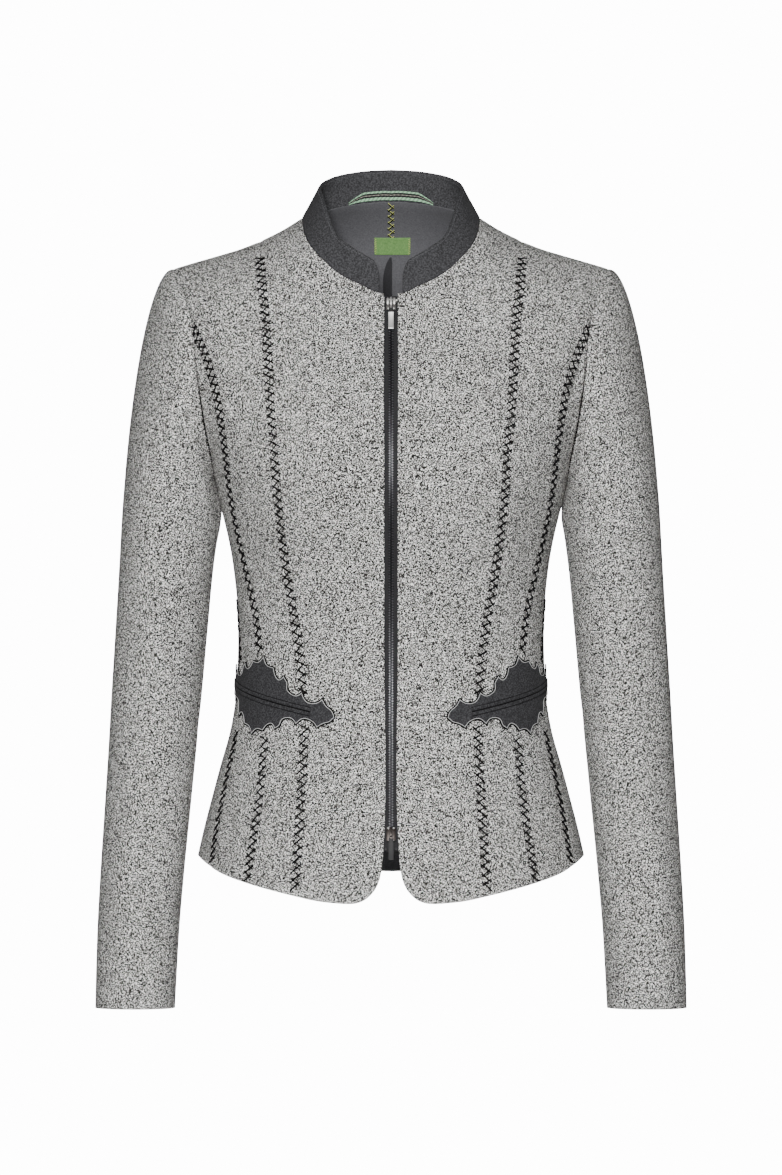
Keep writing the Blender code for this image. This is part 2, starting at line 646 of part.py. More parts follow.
def sleeve_tube(armhole):
    """Rings of the left sleeve from armhole to cuff, with normals; columns go round by the front."""
    ring, ring_normal = surface(armhole)
    front_cells = ARMHOLE_CELLS_UPPER + ARMHOLE_CELLS_LOWER
    angle = np.concatenate([np.linspace(0, math.pi, front_cells + 1),
                            np.linspace(math.pi, 2 * math.pi, ARMHOLE_CELLS_BACK + 1)[1:]])
    top = np.maximum(np.cos(angle), 0)[:, None] ** 2
    under = np.maximum(-np.cos(angle), 0)[:, None] ** 2
    side = np.sin(angle)[:, None] ** 2
    forward = np.sign(np.sin(angle))[:, None] * np.array([0.0, -1.0, 0.0])
    side_way = np.array(CAP_SIDE) * [1, 0, 1] + CAP_SIDE[1] * forward
    leave = unit(top * np.array(CAP_TOP) + side * side_way + under * np.array(CAP_UNDER))
    end = sleeve_ring(SLEEVE_RINGS[0], angle)
    arrive = unit(sleeve_ring(SLEEVE_RINGS[0] - CAP_STEP, angle) - end)
    drop = (ring[:, 2] - end[:, 2])[:, None]
    leave = leave * CAP_FLARE * (drop / drop.max()) ** CAP_EASE
    arrive = arrive * CAP_PULL * drop
    rings = []
    for t in np.linspace(0, 1, CAP_RINGS + 1):
        rings.append((1 + 2 * t) * (1 - t) ** 2 * ring + t * (1 - t) ** 2 * leave
                     + t * t * (3 - 2 * t) * end + t * t * (t - 1) * arrive)
    rings += [sleeve_ring(height, angle) for height in SLEEVE_RINGS[1:]]
    tube = np.array(rings)
    normals = tube_normals(tube)
    away = away_from_panel(ring, ring_normal, ring.mean(axis=0))
    tube[0] = turned_edge(ring, ring_normal, CLOTH, normals[0], CLOTH, away, ARMHOLE_GAP)
    tube[:, -1] = tube[:, 0]
    return tube, normals


def tube_normals(tube):
    """Outward normals of a closed tube whose last column repeats the first."""
    around = np.roll(tube[:, :-1], -1, axis=1) - np.roll(tube[:, :-1], 1, axis=1)
    along = np.gradient(tube[:, :-1], axis=0)
    normals = unit(np.cross(around, along))
    outward = np.sign(np.sum(normals * (tube[:, :-1] - tube[:, :-1].mean(axis=1, keepdims=True)), axis=-1))
    normals = normals * (1 if outward.sum() > 0 else -1)
    return np.concatenate([normals, normals[:, :1]], axis=1)


def make_sleeves(armhole):
    tube, normals = sleeve_tube(armhole)
    over = list(range(HINDARM_SEAM, tube.shape[1] - 1)) + list(range(0, FOREARM_SEAM + 1))
    under = list(range(FOREARM_SEAM, HINDARM_SEAM + 1))
    for name, columns in (("top_sleeve", over), ("under_sleeve", under)):
        points, way = tube[:, columns], normals[:, columns]
        points = inset(points, way, ("left", "right"))
        wall(name + "_left", points, way, CLOTH, "wool_tweed_sleeve", TWEED_SHADE)
        wall(name + "_right", mirrored(points), mirrored(way), CLOTH, "wool_tweed_sleeve", TWEED_SHADE)


# ======================================================================= collar
def collar_grid(neckline):
    """The outer collar's wall from the left front end round the back to the right front end."""
    seam, seam_normal = surface(neckline)
    steps = np.linalg.norm(np.diff(seam, axis=0), axis=1)
    share = np.concatenate([[0], np.cumsum(steps)]) / steps.sum()
    top = [smooth(column(COLLAR_TOP, 0), column(COLLAR_TOP, i)) for i in (1, 2, 3)]
    levels = np.linspace(0, 1, COLLAR_ROWS + 1)
    rows = []
    for level in levels:
        rounded = share - COLLAR_CORNER * (1 - level ** 4) * np.maximum(0, 1 - share / CORNER_REACH)
        upper = np.stack([top[i](rounded) for i in range(3)], axis=-1)
        rows.append(seam + (upper - seam) * level)
    grid = both_halves(np.array(rows))
    normals = np.cross(np.gradient(grid, axis=1), np.gradient(grid, axis=0))
    normals = unit(normals)
    if normals[0, 0, 1] > 0:
        normals = -normals
    seam_full = both_halves(seam[None])[0]
    seam_normal = both_halves(seam_normal[None])[0]
    away = away_from_panel(seam_full, seam_normal, seam_full.mean(axis=0))
    foot = turned_edge(seam_full, seam_normal, CLOTH, normals[0], COLLAR_CLOTH, away)
    shift = (foot - grid[0])[None] * (1 - levels)[:, None, None]
    return grid + shift, normals


def on_grid(points, row, col):
    """A point between a grid's points, by its fractional row and column."""
    i = int(np.clip(math.floor(row), 0, points.shape[0] - 2))
    j = int(np.clip(math.floor(col), 0, points.shape[1] - 2))
    r, c = row - i, col - j
    return (points[i, j] * (1 - r) * (1 - c) + points[i + 1, j] * r * (1 - c)
            + points[i, j + 1] * (1 - r) * c + points[i + 1, j + 1] * r * c)


def make_collar(neckline):
    points, normals = collar_grid(neckline)
    wall("collar_outer", points, normals, COLLAR_CLOTH, "charcoal_wool", CHARCOAL)
    step = COLLAR_CLOTH + LAYER_GAP
    inner = points - normals * step
    wall("collar_inner", inner, normals, COLLAR_CLOTH, "charcoal_wool", CHARCOAL)
    return inner - normals * COLLAR_CLOTH / 2, normals


def make_hanger_loop(face, normals):
    """A woven tape sewn in at both ends by the collar seam and bowed across the centre back."""
    column_of = smooth(-face[0, :, 0], np.arange(face.shape[1]))
    rows = []
    for side in (0, 1):
        row = []
        for share in np.linspace(-1, 1, LOOP_CELLS + 1):
            col = float(column_of(-share * LOOP_HALF))
            bow = 1 - share ** 6
            wide = LOOP_WIDE * min(1.0, LOOP_TIP + (1 - LOOP_TIP) * (1 - abs(share)) / LOOP_SLOPE)
            level = (LOOP_FOOT + LOOP_RISE * bow + side * wide) / COLLAR_HEIGHT * COLLAR_ROWS
            away = LAYER_GAP + LOOP_THICK / 2 + LOOP_BOW * bow
            normal = on_grid(normals, level, col)
            row.append(on_grid(face, level, col) - normal * away)
        rows.append(row)
    points = np.array(rows)
    ways = -unit(np.cross(np.gradient(points, axis=1), np.gradient(points, axis=0)))
    wall("hanger_loop", points, ways, LOOP_THICK, "striped_tape", GREEN)


# ======================================================================= back lining and label
def make_lining(panel):
    """Satin behind the centre back, from the same grid as the panel, with a pleat down the middle."""
    pleat = (panel[:, -2] + panel[:, -1]) / 2
    half = np.concatenate([panel[:, :-1], pleat[:, None], panel[:, -1:]], axis=1)
    half[0] = half[0] + (half[1] - half[0]) * LINING_SHORT
    points, normals = surface(half)
    drawn = LINING_GAP + (CLOTH + LINING) / 2
    points = points - normals * drawn
    points = inset(points, normals, ("left", "head"), LINING_INSET)
    raised = np.clip((PLEAT_FROM - points[:, -2, 2]) / PLEAT_OPENS, 0, 1)
    points[:, -2] -= normals[:, -2] * PLEAT_RISE * raised[:, None]
    full, full_normals = both_halves(points), both_halves(normals)
    wall("back_lining", full, full_normals, LINING, "lining_satin", LINING_SATIN)
    return full - full_normals * LINING / 2, full_normals


def make_label(face, normals):
    heights = face[:, face.shape[1] // 2, 2]
    row_of = smooth(heights, np.arange(len(heights)))
    points, ways = [], []
    for height in (LABEL_TOP - LABEL_TALL, LABEL_TOP - LABEL_TALL / 2, LABEL_TOP):
        row = float(row_of(height))
        column_of = smooth(-np.array([on_grid(face, row, j)[0] for j in range(face.shape[1])]),
                           np.arange(face.shape[1]))
        cols = [float(column_of(-x)) for x in np.linspace(LABEL_WIDE / 2, -LABEL_WIDE / 2, LABEL_CELLS + 1)]
        points.append([on_grid(face, row, c) for c in cols])
        ways.append([on_grid(normals, row, c) for c in cols])
    ways = unit(np.array(ways))
    points = np.array(points) - ways * (LAYER_GAP + LABEL_THICK / 2)
    wall("label", points, ways, LABEL_THICK, "woven_label", GREEN)


# ======================================================================= zip
def front_marks(heights, x):
    return np.array([locate(z, np.array(x)) for z in heights])


def between(edge_heights, foot, top):
    """The front edge's own heights between two ends, so that the zip bends where the fronts bend."""
    return [foot] + [z for z in edge_heights if foot + END_CLEAR < z < top - END_CLEAR] + [top]


def make_tapes(edge_heights):
    heights = between(edge_heights, ZIP_FOOT, ZIP_TOP)
    grid = np.stack([front_marks(heights, x) for x in (TAPE_IN, FRONT_EDGE, TAPE_OUT)], axis=1)
    points, normals = surface(grid)
    points = points - normals * tape_depth()
    wall("zip_tape_left", points, normals, TAPE_CLOTH, "zip_tape", ZIP_CLOTH)
    wall("zip_tape_right", mirrored(points), mirrored(normals), TAPE_CLOTH, "zip_tape", ZIP_CLOTH)
    heights = between(edge_heights, CHAIN_FOOT, CHAIN_TOP)
    grid = np.stack([front_marks(heights, x) for x in (0.0, CHAIN_HALF_WIDTH)], axis=1)
    points, normals = surface(grid)
    points = points - normals * tape_depth()
    full = np.concatenate([mirrored(points), points[:, 1:]], axis=1)
    ways = np.concatenate([mirrored(normals), normals[:, 1:]], axis=1)
    wall("zip_chain", full, ways, CHAIN_THICK, "zip_teeth", ZIP_METAL)


def tape_depth():
    """How far the zip's middle lies behind the middle of the wool."""
    return TAPE_GAP + (CLOTH + TAPE_CLOTH) / 2


def zip_frame(height):
    """Place and tilt of a slider on the zip: x to the wearer's left, y into the jacket, z up the zip."""
    mark = locate(height, np.array(0.0))
    here = body(*mark)
    up = unit(body(mark[0], mark[1] - TILT_STEP) - body(mark[0], mark[1] + TILT_STEP))
    place = Vector(here - body_normal(*mark) * tape_depth())
    tilt = math.atan2(-up[1], up[2])
    return place * MM, tilt


def union(piece, others):
    for other in others:
        cut = piece.modifiers.new("join", "BOOLEAN")
        cut.operation = "UNION"
        cut.solver = "EXACT"
        cut.object = other
        other.hide_render = True
        other.display_type = "WIRE"
    return piece


def block(name, low, high, look_name, look, bevel=0.0):
    bm = bmesh.new()
    box(bm, [v * MM for v in low], [v * MM for v in high])
    if bevel:
        deep = 0.5 * (high[1] - low[1]) * MM
        edges = [e for e in bm.edges if abs((e.verts[0].co - e.verts[1].co).y) > deep]
        bmesh.ops.bevel(bm, geom=edges, offset=bevel * MM, affect="EDGES", segments=2, profile=0.5,
                        material=-1)
    return finish(name, bm, look_name, look)


def make_slider(name, height, upside_down, look_name, look):
    """Two plates joined by a post, with a bridge on the front plate that holds the pull tab."""
    place, tilt = zip_frame(height)
    wide, tall = SLIDER_WIDE / 2, SLIDER_TALL / 2
    way = -1 if upside_down else 1
    clear = CHAIN_THICK / 2 + SLIDER_CLEAR
    post_low, post_high = sorted((way * (tall - POST_TALL), way * tall))
    face = clear + SLIDER_PLATE
    front = block(name, (-wide, -face, -tall), (wide, -clear, tall), look_name, look, bevel=SLIDER_BEVEL)
    back = block(name + "_back", (-wide, clear, -tall), (wide, clear + SLIDER_PLATE, tall),
                 look_name, look, bevel=SLIDER_BEVEL)
    post = block(name + "_post", (-POST_HALF, -clear - BITE, post_low), (POST_HALF, clear + BITE, post_high),
                 look_name, look)
    half, leg = BRIDGE_WIDE / 2, BRIDGE_TALL / 2
    top = -face - BRIDGE_HIGH
    legs = [block(f"{name}_leg{i}", (-half, top, z), (half, -face + BITE, z + BRIDGE_BAR), look_name, look)
            for i, z in enumerate((-leg, leg - BRIDGE_BAR))]
    bar = block(name + "_bar", (-half, top - BRIDGE_BAR, -leg), (half, top + BITE / 2, leg), look_name, look)
    helpers = [back, post, *legs, bar]
    for piece in [front, *helpers]:
        piece.location = place
        piece.rotation_euler = (tilt, 0, 0)
    return union(front, helpers)


def make_tab(name, height, look_name, look):
    """A flat pull with a window at its head, whose crossbar turns under the slider's bridge."""
    place, tilt = zip_frame(height)
    face = CHAIN_THICK / 2 + SLIDER_CLEAR + SLIDER_PLATE
    pivot = place + Matrix.Rotation(tilt, 3, "X") @ Vector((0, -(face + PIVOT_HIGH), 0)) * MM
    bm = bmesh.new()
    half, thick, bar = TAB_WIDE / 2, TAB_THICK / 2, TAB_BAR / 2
    arm = half - (BRIDGE_WIDE / 2 + TAB_PLAY)
    window = BRIDGE_TALL / 2 + WINDOW_CLEAR
    outline = [(-half, bar), (half, bar), (half, -TAB_LONG), (-half, -TAB_LONG)]
    inner = [(-half + arm, -bar), (half - arm, -bar), (half - arm, -window), (-half + arm, -window)]
    rings = [[bm.verts.new(Vector((x, -thick, z)) * MM) for x, z in ring] for ring in (outline, inner)]
    for i in range(4):
        bm.faces.new((rings[0][i], rings[0][(i + 1) % 4], rings[1][(i + 1) % 4], rings[1][i]))
    made = bmesh.ops.extrude_face_region(bm, geom=bm.faces[:])
    bmesh.ops.translate(bm, vec=Vector((0, TAB_THICK, 0)) * MM,
                        verts=[g for g in made["geom"] if isinstance(g, bmesh.types.BMVert)])
    tab = finish(name, bm, look_name, look)
    tab.location = pivot
    tab.rotation_euler = (tilt, 0, 0)
    return pivot / MM, tilt


# ======================================================================= pockets
def on_front(across, height):
    """Around and down of a point by its height and its distance round the body from POCKET_AT."""
    turn = np.linspace(0.02, 1.9, LINE_POINTS * 4)
    marks = locate_around(height, turn)
    points = body(marks[:, 0], marks[:, 1])
    way = np.concatenate([[0], np.cumsum(np.linalg.norm(np.diff(points, axis=0), axis=1))])
    on_level = (points[:, 0] >= -POCKET_AT[0]) & (turn < 1)
    start = way[np.argmax(on_level)]
    return np.array([np.interp(start - across, way, turn), np.interp(start - across, way, marks[:, 1])])


def pocket_place(along, over, lift):
    """A point of the pocket, along its slit towards the front and across it, lifted off the cloth."""
    cos, sin = math.cos(POCKET_SLANT), math.sin(POCKET_SLANT)
    across = along * cos + over * sin
    height = POCKET_AT[1] + over * cos - along * sin
    mark = on_front(across, height)
    point = body(mark[0], mark[1]) + lift * body_normal(mark[0], mark[1])
    return Vector(point) * MM


def pocket_outline():
    """The whole edge: the table's quarter, mirrored across the slit and from front to back."""
    upper = list(POCKET_EDGE) + [(-x, y) for x, y in POCKET_EDGE[-2::-1]]
    lower = [(x, -y * POCKET_LOWER) for x, y in upper[-2:0:-1]]
    return upper + lower


def bent(name, outline, hole, thickness, look_name, look):
    """A flat shape, cut into strips, bent round the body and extruded to its thickness."""
    bm = bmesh.new()
    edges = []
    for loop in [outline] + ([hole] if hole else []):
        verts = [bm.verts.new((x, y, 0)) for x, y in loop]
        edges += [bm.edges.new((verts[i], verts[(i + 1) % len(verts)])) for i in range(len(verts))]
    bmesh.ops.triangle_fill(bm, edges=edges, use_beauty=True)
    reach = max(x for x, _ in outline)
    for x in np.arange(-reach, reach, POCKET_STRIP)[1:]:
        bmesh.ops.bisect_plane(bm, geom=bm.verts[:] + bm.edges[:] + bm.faces[:],
                               plane_co=(float(x), 0, 0), plane_no=(1, 0, 0), dist=1e-4)
    made = bmesh.ops.extrude_face_region(bm, geom=bm.faces[:])
    raised = {g for g in made["geom"] if isinstance(g, bmesh.types.BMVert)}
    base = CLOTH / 2 + POCKET_LIFT
    for v in bm.verts:
        v.co = pocket_place(v.co.x, v.co.y, base + (thickness if v in raised else 0.0))
    piece = finish(name + "_left", bm, look_name, look)
    twin = bmesh.new()
    twin.from_mesh(piece.data)
    bmesh.ops.scale(twin, vec=(-1, 1, 1), verts=twin.verts)
    finish(name + "_right", twin, look_name, look)


def make_pockets():
    half_window = WELT_WIDE + WELT_GAP / 2 + SEAM_GAP
    long_window = SLIT_HALF + SEAM_GAP
    window = [(long_window, half_window), (-long_window, half_window),
              (-long_window, -half_window), (long_window, -half_window)]
    bent("pocket_applique", pocket_outline(), window, APPLIQUE_CLOTH, "charcoal_felt", CHARCOAL)
    for name, low in (("pocket_welt_upper", WELT_GAP / 2), ("pocket_welt_lower", -WELT_GAP / 2 - WELT_WIDE)):
        high = low + WELT_WIDE
        strip = [(SLIT_HALF, low), (SLIT_HALF, high), (-SLIT_HALF, high), (-SLIT_HALF, low)]
        bent(name, strip, None, APPLIQUE_CLOTH, "charcoal_felt", CHARCOAL)


# ======================================================================= assembly
def main():
    for old in list(bpy.data.objects):
        bpy.data.objects.remove(old)
    panels, armhole, neckline = grids()
    make_body(panels)
    make_sleeves(armhole)
    face, ways = make_collar(neckline)
    make_hanger_loop(face, ways)
    face, ways = make_lining(panels["centre_back"])
    make_label(face, ways)
    edge = panels["centre_front"][:FRONT_CELLS - NECK_CELLS_FRONT, 0]
    make_tapes(list(body(edge[:, 0], edge[:, 1])[:, 2]))
    make_slider("zip_slider_top", TOP_SLIDER_AT, False, "nickel", NICKEL)
    make_slider("zip_slider_foot", FOOT_SLIDER_AT, True, "nickel", NICKEL)
    pivots = [make_tab("zip_pull_top", TOP_SLIDER_AT, "nickel", NICKEL),
              make_tab("zip_pull_foot", FOOT_SLIDER_AT, "nickel", NICKEL)]
    make_pockets()
    for name, (pivot, tilt) in zip(("top pull", "foot pull"), pivots):
        print(name, "pivot", [round(v, 2) for v in pivot], "tilt", round(math.degrees(tilt), 1))


main()
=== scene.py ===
# %% [markdown]
# # A loden jacket that keeps its worn form
#
# The jacket hangs as if somebody were wearing it: nine wool panels for the body, two-piece sleeves,
# a low stand collar, a two-way zip and two slanted pockets under ornamental patches.
# +Z is up, the front faces -Y and the wearer's left is at +X. The origin is the middle of the neck.
# The tables below are in millimetres, because that is how a tailor measures; Blender works in metres,
# so every point is multiplied by MM when it is placed.
#
# The frame holds the jacket's plain solids. Each piece of cloth below takes the place of one or two of
# them, keeps their form and adds what they lack: the weave, the creases, the stitches and the teeth.

# %% The frame that the cloth is fitted to
import json
import math

import bmesh
import bpy
import numpy as np
from mathutils import Matrix, Vector

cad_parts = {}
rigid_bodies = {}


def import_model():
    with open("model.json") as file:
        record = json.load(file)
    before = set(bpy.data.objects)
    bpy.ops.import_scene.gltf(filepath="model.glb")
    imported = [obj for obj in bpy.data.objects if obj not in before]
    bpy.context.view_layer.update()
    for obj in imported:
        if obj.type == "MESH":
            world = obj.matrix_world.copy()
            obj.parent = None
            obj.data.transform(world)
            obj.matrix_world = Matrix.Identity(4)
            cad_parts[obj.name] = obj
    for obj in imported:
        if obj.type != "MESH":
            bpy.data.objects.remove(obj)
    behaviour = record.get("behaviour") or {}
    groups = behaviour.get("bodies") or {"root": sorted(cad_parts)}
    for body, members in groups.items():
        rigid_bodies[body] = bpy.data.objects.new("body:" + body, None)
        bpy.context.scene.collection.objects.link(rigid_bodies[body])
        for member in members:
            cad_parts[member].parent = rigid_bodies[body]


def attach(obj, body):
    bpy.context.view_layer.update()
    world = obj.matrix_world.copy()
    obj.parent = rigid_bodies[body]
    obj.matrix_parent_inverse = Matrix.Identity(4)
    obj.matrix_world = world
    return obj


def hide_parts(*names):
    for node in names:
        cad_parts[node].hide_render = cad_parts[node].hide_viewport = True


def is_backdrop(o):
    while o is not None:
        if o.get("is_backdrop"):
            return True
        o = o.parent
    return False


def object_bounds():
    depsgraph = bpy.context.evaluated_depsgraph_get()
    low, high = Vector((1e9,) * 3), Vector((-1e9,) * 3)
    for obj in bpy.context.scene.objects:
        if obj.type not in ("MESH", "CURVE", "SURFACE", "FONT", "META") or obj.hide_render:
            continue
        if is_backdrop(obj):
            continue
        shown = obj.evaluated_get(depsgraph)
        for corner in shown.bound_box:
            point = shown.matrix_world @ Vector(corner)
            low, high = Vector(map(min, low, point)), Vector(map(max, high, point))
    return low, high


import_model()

MM = 0.001
size_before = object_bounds()
for axis, low, high in zip("xyz", *size_before):
    print(f"the solids reach from {low:.3f} to {high:.3f} m along {axis}")

# %% [markdown]
# ## A body surface with two coordinates
#
# All the wool pieces are cut from one smooth body shape. Each point of it has two coordinates:
# how far round the body it lies (0 is the centre front, 1 the side, 2 the centre back) and how far
# down from the shoulder line. Seams are then simply lines drawn in these two coordinates, and the
# neighbours at a seam always meet, because both read the same line. Sculpting every panel by hand
# could give the same look, but the edges would have to be matched one by one.
#
# `smooth` turns a short table of measurements into a soft curve, as a tailor's curved ruler does.

# %% Tables of the body
SHOULDER_ROLL = 52.0        # depth over which the cloth turns over the shoulder
SEAM_SET_BACK = 8.0         # the shoulder seam lies a little behind the side line
ROUNDNESS = 2.35            # 2 would be an ellipse, more is squarer
ASPECT = 1.35
BUST_FULLNESS = 8.0
BUST_X, BUST_Z, BUST_WIDE, BUST_TALL = 82.0, -236.0, 50.0, 58.0

TORSO = (
    # height, half width, front depth, back depth
    (-640, 184, 152, 158), (-580, 173, 135, 138), (-545, 164.5, 128, 127), (-515, 157.5, 121, 117),
    (-490, 151, 115, 109), (-464, 144, 109, 101), (-438, 136.6, 104, 94), (-413, 132, 100, 88.5),
    (-386, 130, 98, 85), (-355, 129.2, 98, 84.5), (-324, 130.3, 101, 87), (-298, 133, 106, 91),
    (-273, 137.3, 112, 95.5), (-247, 143.5, 117.5, 99.5), (-222, 150.5, 120, 102),
    (-205, 155.3, 119.5, 103), (-171, 169, 114, 104), (-128, 183, 101, 101.5), (-88, 189, 84, 93),
    (-66, 193, 74, 86), (-42, 197, 63, 76), (-20, 199, 53, 67), (0, 200, 45, 60), (40, 202, 30, 48),
)
SHOULDER_LINE = (
    # distance from the centre, height of the shoulder seam
    (0, 33), (20, 30), (40, 21.5), (60, 10.5), (76, 0), (91, -9.4), (108, -17.9), (129, -26.4),
    (143, -30.6), (158, -34.9), (173, -39.1), (189, -43.6), (215, -51),
)


def smooth(knots, values):
    """A smooth curve through a table, carried on straight past its ends."""
    knots, values = np.asarray(knots, float), np.asarray(values, float)
    slopes = np.gradient(values, knots)

    def at(where):
        where = np.asarray(where, float)
        i = np.clip(np.searchsorted(knots, where) - 1, 0, len(knots) - 2)
        span = knots[i + 1] - knots[i]
        w = (where - knots[i]) / span
        c = np.clip(w, 0.0, 1.0)
        inside = ((1 + 2 * c) * (1 - c) ** 2 * values[i] + c * (1 - c) ** 2 * span * slopes[i]
                  + c * c * (3 - 2 * c) * values[i + 1] + c * c * (c - 1) * span * slopes[i + 1])
        return inside + np.where(w > 1, slopes[i + 1], slopes[i]) * (w - c) * span

    return at


def column(table, number):
    return [row[number] for row in table]


def unit(vectors):
    return vectors / np.linalg.norm(vectors, axis=-1, keepdims=True)


def running_length(points):
    """The distance along a row of points, from 0 at the first one."""
    steps = np.linalg.norm(np.diff(points, axis=0), axis=1)
    return np.concatenate([[0], np.cumsum(steps)])


print("rows in the table of the body:", len(TORSO))

# %% [markdown]
# The cross-section of the body is an oval that is a little squarer than an ellipse, as a chest is.
# `quarter_section` spaces its points evenly, so that one step of "around" is always about the same
# length of cloth. `body` then gives the place of any point, and `body_normal` the way out of the
# cloth there. Blender could also bend a subdivided tube with a lattice, but a formula can be asked
# for any point that a seam needs.

# %% The surface itself
half_width = smooth(column(TORSO, 0), column(TORSO, 1))
front_depth = smooth(column(TORSO, 0), column(TORSO, 2))
back_depth = smooth(column(TORSO, 0), column(TORSO, 3))
crest_rows = [(-x, z) for x, z in SHOULDER_LINE[:0:-1]] + list(SHOULDER_LINE)
crest = smooth(column(crest_rows, 0), column(crest_rows, 1))


def quarter_section():
    """A quarter of the oval: the share of the way round, and the width and depth there."""
    turn = np.linspace(0, math.pi / 2, 2001)
    wide = np.sin(turn) ** (2 / ROUNDNESS)
    deep = np.cos(turn) ** (2 / ROUNDNESS)
    way = np.concatenate([[0], np.cumsum(np.hypot(ASPECT * np.diff(wide), np.diff(deep)))])
    return way / way[-1], wide, deep


SECTION_WAY, SECTION_WIDE, SECTION_DEEP = quarter_section()
SETTLING = 30       # the height and the width depend on each other, so they settle in some rounds


def body(around, down):
    """Points of the half at +X, in millimetres."""
    around, down = np.broadcast_arrays(np.asarray(around, float), np.asarray(down, float))
    quarter = np.where(around <= 1, np.abs(around), 2 - around)
    side = np.where((around < 0) | (around > 2), -1.0, 1.0)
    wide = np.interp(np.abs(quarter), SECTION_WAY, SECTION_WIDE)
    deep = np.interp(np.abs(quarter), SECTION_WAY, SECTION_DEEP)
    turn = np.clip(down / SHOULDER_ROLL, 0, math.pi / 2)
    drop = SHOULDER_ROLL * (1 - np.cos(turn)) + np.maximum(down - SHOULDER_ROLL * math.pi / 2, 0)
    z = -drop
    for _ in range(SETTLING):
        z = crest(half_width(z) * wide) - drop
    x = half_width(z) * wide
    depth = np.where(around <= 1, -front_depth(z), back_depth(z))
    y = depth * deep * np.sin(turn) + SEAM_SET_BACK * (1 - np.sin(turn))
    bust = np.exp(-((x - BUST_X) / BUST_WIDE) ** 2 - ((z - BUST_Z) / BUST_TALL) ** 2)
    y = np.where(around <= 1, y - BUST_FULLNESS * bust * deep, y)
    return np.stack([x * side, y, z], axis=-1)


STEP_AROUND, STEP_DOWN = 0.004, 0.6     # small steps that show which way the cloth faces


def body_normal(around, down):
    """The ways out of the cloth at points of the body."""
    across = body(around + STEP_AROUND, down) - body(around - STEP_AROUND, down)
    below, above = np.maximum(down, 0.0) + STEP_DOWN, np.maximum(down - STEP_DOWN, 0.0)
    return unit(np.cross(body(around, below) - body(around, above), across))


def surface(grid):
    """Places and normals of a whole grid of body coordinates."""
    return body(grid[..., 0], grid[..., 1]), body_normal(grid[..., 0], grid[..., 1])


print("the middle of the front faces", body_normal(0.0, 200.0).round(2))


# %% [markdown]
# A tailor measures by height and by the distance from the middle, while the cloth is drawn by
# "around" and "down". The functions below find the one from the other.

# %% Finding a point on the body
def down_from(z, x):
    drop = np.maximum(crest(x) - z, 0.0)
    turn = np.arccos(np.clip(1 - drop / SHOULDER_ROLL, 0, 1))
    return SHOULDER_ROLL * turn + np.maximum(drop - SHOULDER_ROLL, 0)


def locate(z, x, back=False):
    """Around and down of a point given by its height and its distance from the centre."""
    quarter = np.interp(np.clip(x / half_width(z), 0, 1), SECTION_WIDE, SECTION_WAY)
    return np.stack([2 - quarter if back else quarter, down_from(z, np.asarray(x, float))], axis=-1)


def locate_around(z, around):
    """Around and down of a point given by its height and how far round it lies."""
    quarter = np.where(around <= 1, around, 2 - around)
    x = half_width(z) * np.interp(quarter, SECTION_WAY, SECTION_WIDE)
    return np.stack([np.broadcast_to(around, x.shape), down_from(z, x)], axis=-1)


WAIST_HEIGHT = -355.0
waist = locate_around(WAIST_HEIGHT, np.linspace(0, 2, 120))
print("waist, once round: %.0f mm" % (2 * running_length(body(waist[:, 0], waist[:, 1]))[-1]))

# %% [markdown]
# ## The seams
#
# Princess seams run from the shoulder or the armhole over the bust to the hem; they are what makes
# this jacket fit, for a panel can be wide at the chest and narrow at the waist. Each seam is a short
# table of heights and distances from the centre, as a dressmaker would plot a pattern, and is drawn
# as a smooth line on the body. The side seam and the hem are tables of height and "around".

# %% Tables of the seams
NECK_SIDE = 75.8            # inner end of the shoulder seam
PRINCESS_TOP = 111.0        # where the princess seams cross it
SHOULDER_TIP = 185.7        # its outer end
FRONT_EDGE = 5.7            # each front ends this far from the centre, beside the zip
UNDERARM = (1.05, -222.0)   # around, height
COLLAR_START = 10.0

FRONT_NECKLINE = ((-65.8, FRONT_EDGE), (-65.4, 10), (-63, 17), (-59.7, 22.5), (-54.4, 34.4), (-47, 46.3),
                  (-35.7, 58.6), (-23.8, 68.6), (-11.5, 73.8), (0, 75.8))
BACK_NECKLINE = ((14, 0), (13.3, 20), (10.8, 40), (6.8, 58), (3, 70), (0, 75.8))
FRONT_PRINCESS = ((-19.2, 111), (-36, 110.5), (-57, 108.6), (-82, 106.1), (-126, 103), (-187, 98.5),
                  (-230, 95.5), (-273, 91), (-315, 85), (-358, 78), (-404, 73.5), (-456, 73.5),
                  (-510, 76.5), (-571.3, 80.5))
ARMHOLE_PRINCESS = ((-90, 168.5), (-104, 162), (-118, 156), (-131, 151.7), (-148, 147), (-171, 143),
                    (-213, 137.8), (-263, 130), (-301, 121.5), (-334, 114), (-370, 110), (-404, 107),
                    (-440, 106), (-480, 109), (-520, 114.5), (-560.6, 121))
BACK_PRINCESS = ((-19.2, 111), (-60, 109), (-120, 104), (-190, 96), (-260, 83), (-320, 71), (-370, 65),
                 (-420, 67), (-480, 74), (-555, 84))
FRONT_ARMHOLE = ((-42.5, 185.7), (-55, 179.5), (-69, 174.2), (-88, 169), (-128, 165), (-171, 159.4),
                 (-198, 154.5), (-214, 151.6))
BACK_ARMHOLE = ((-42.5, 185.7), (-55, 180.5), (-70, 176.3), (-95, 172), (-130, 168), (-165, 162.5),
                (-192, 156.5), (-210, 153))
SIDE_SEAM = ((-222, 1.05), (-280, 1.0), (-334, 0.91), (-370, 0.86), (-418, 0.815), (-450, 0.785),
             (-500, 0.755), (-550, 0.73))
HEM = ((0.166, -578), (0.25, -576), (0.345, -571.4), (0.54, -561), (0.66, -554), (0.75, -548),
       (0.86, -542.5), (1.0, -540.5), (1.2, -543), (1.5, -551), (1.8, -557), (2.0, -558.5))
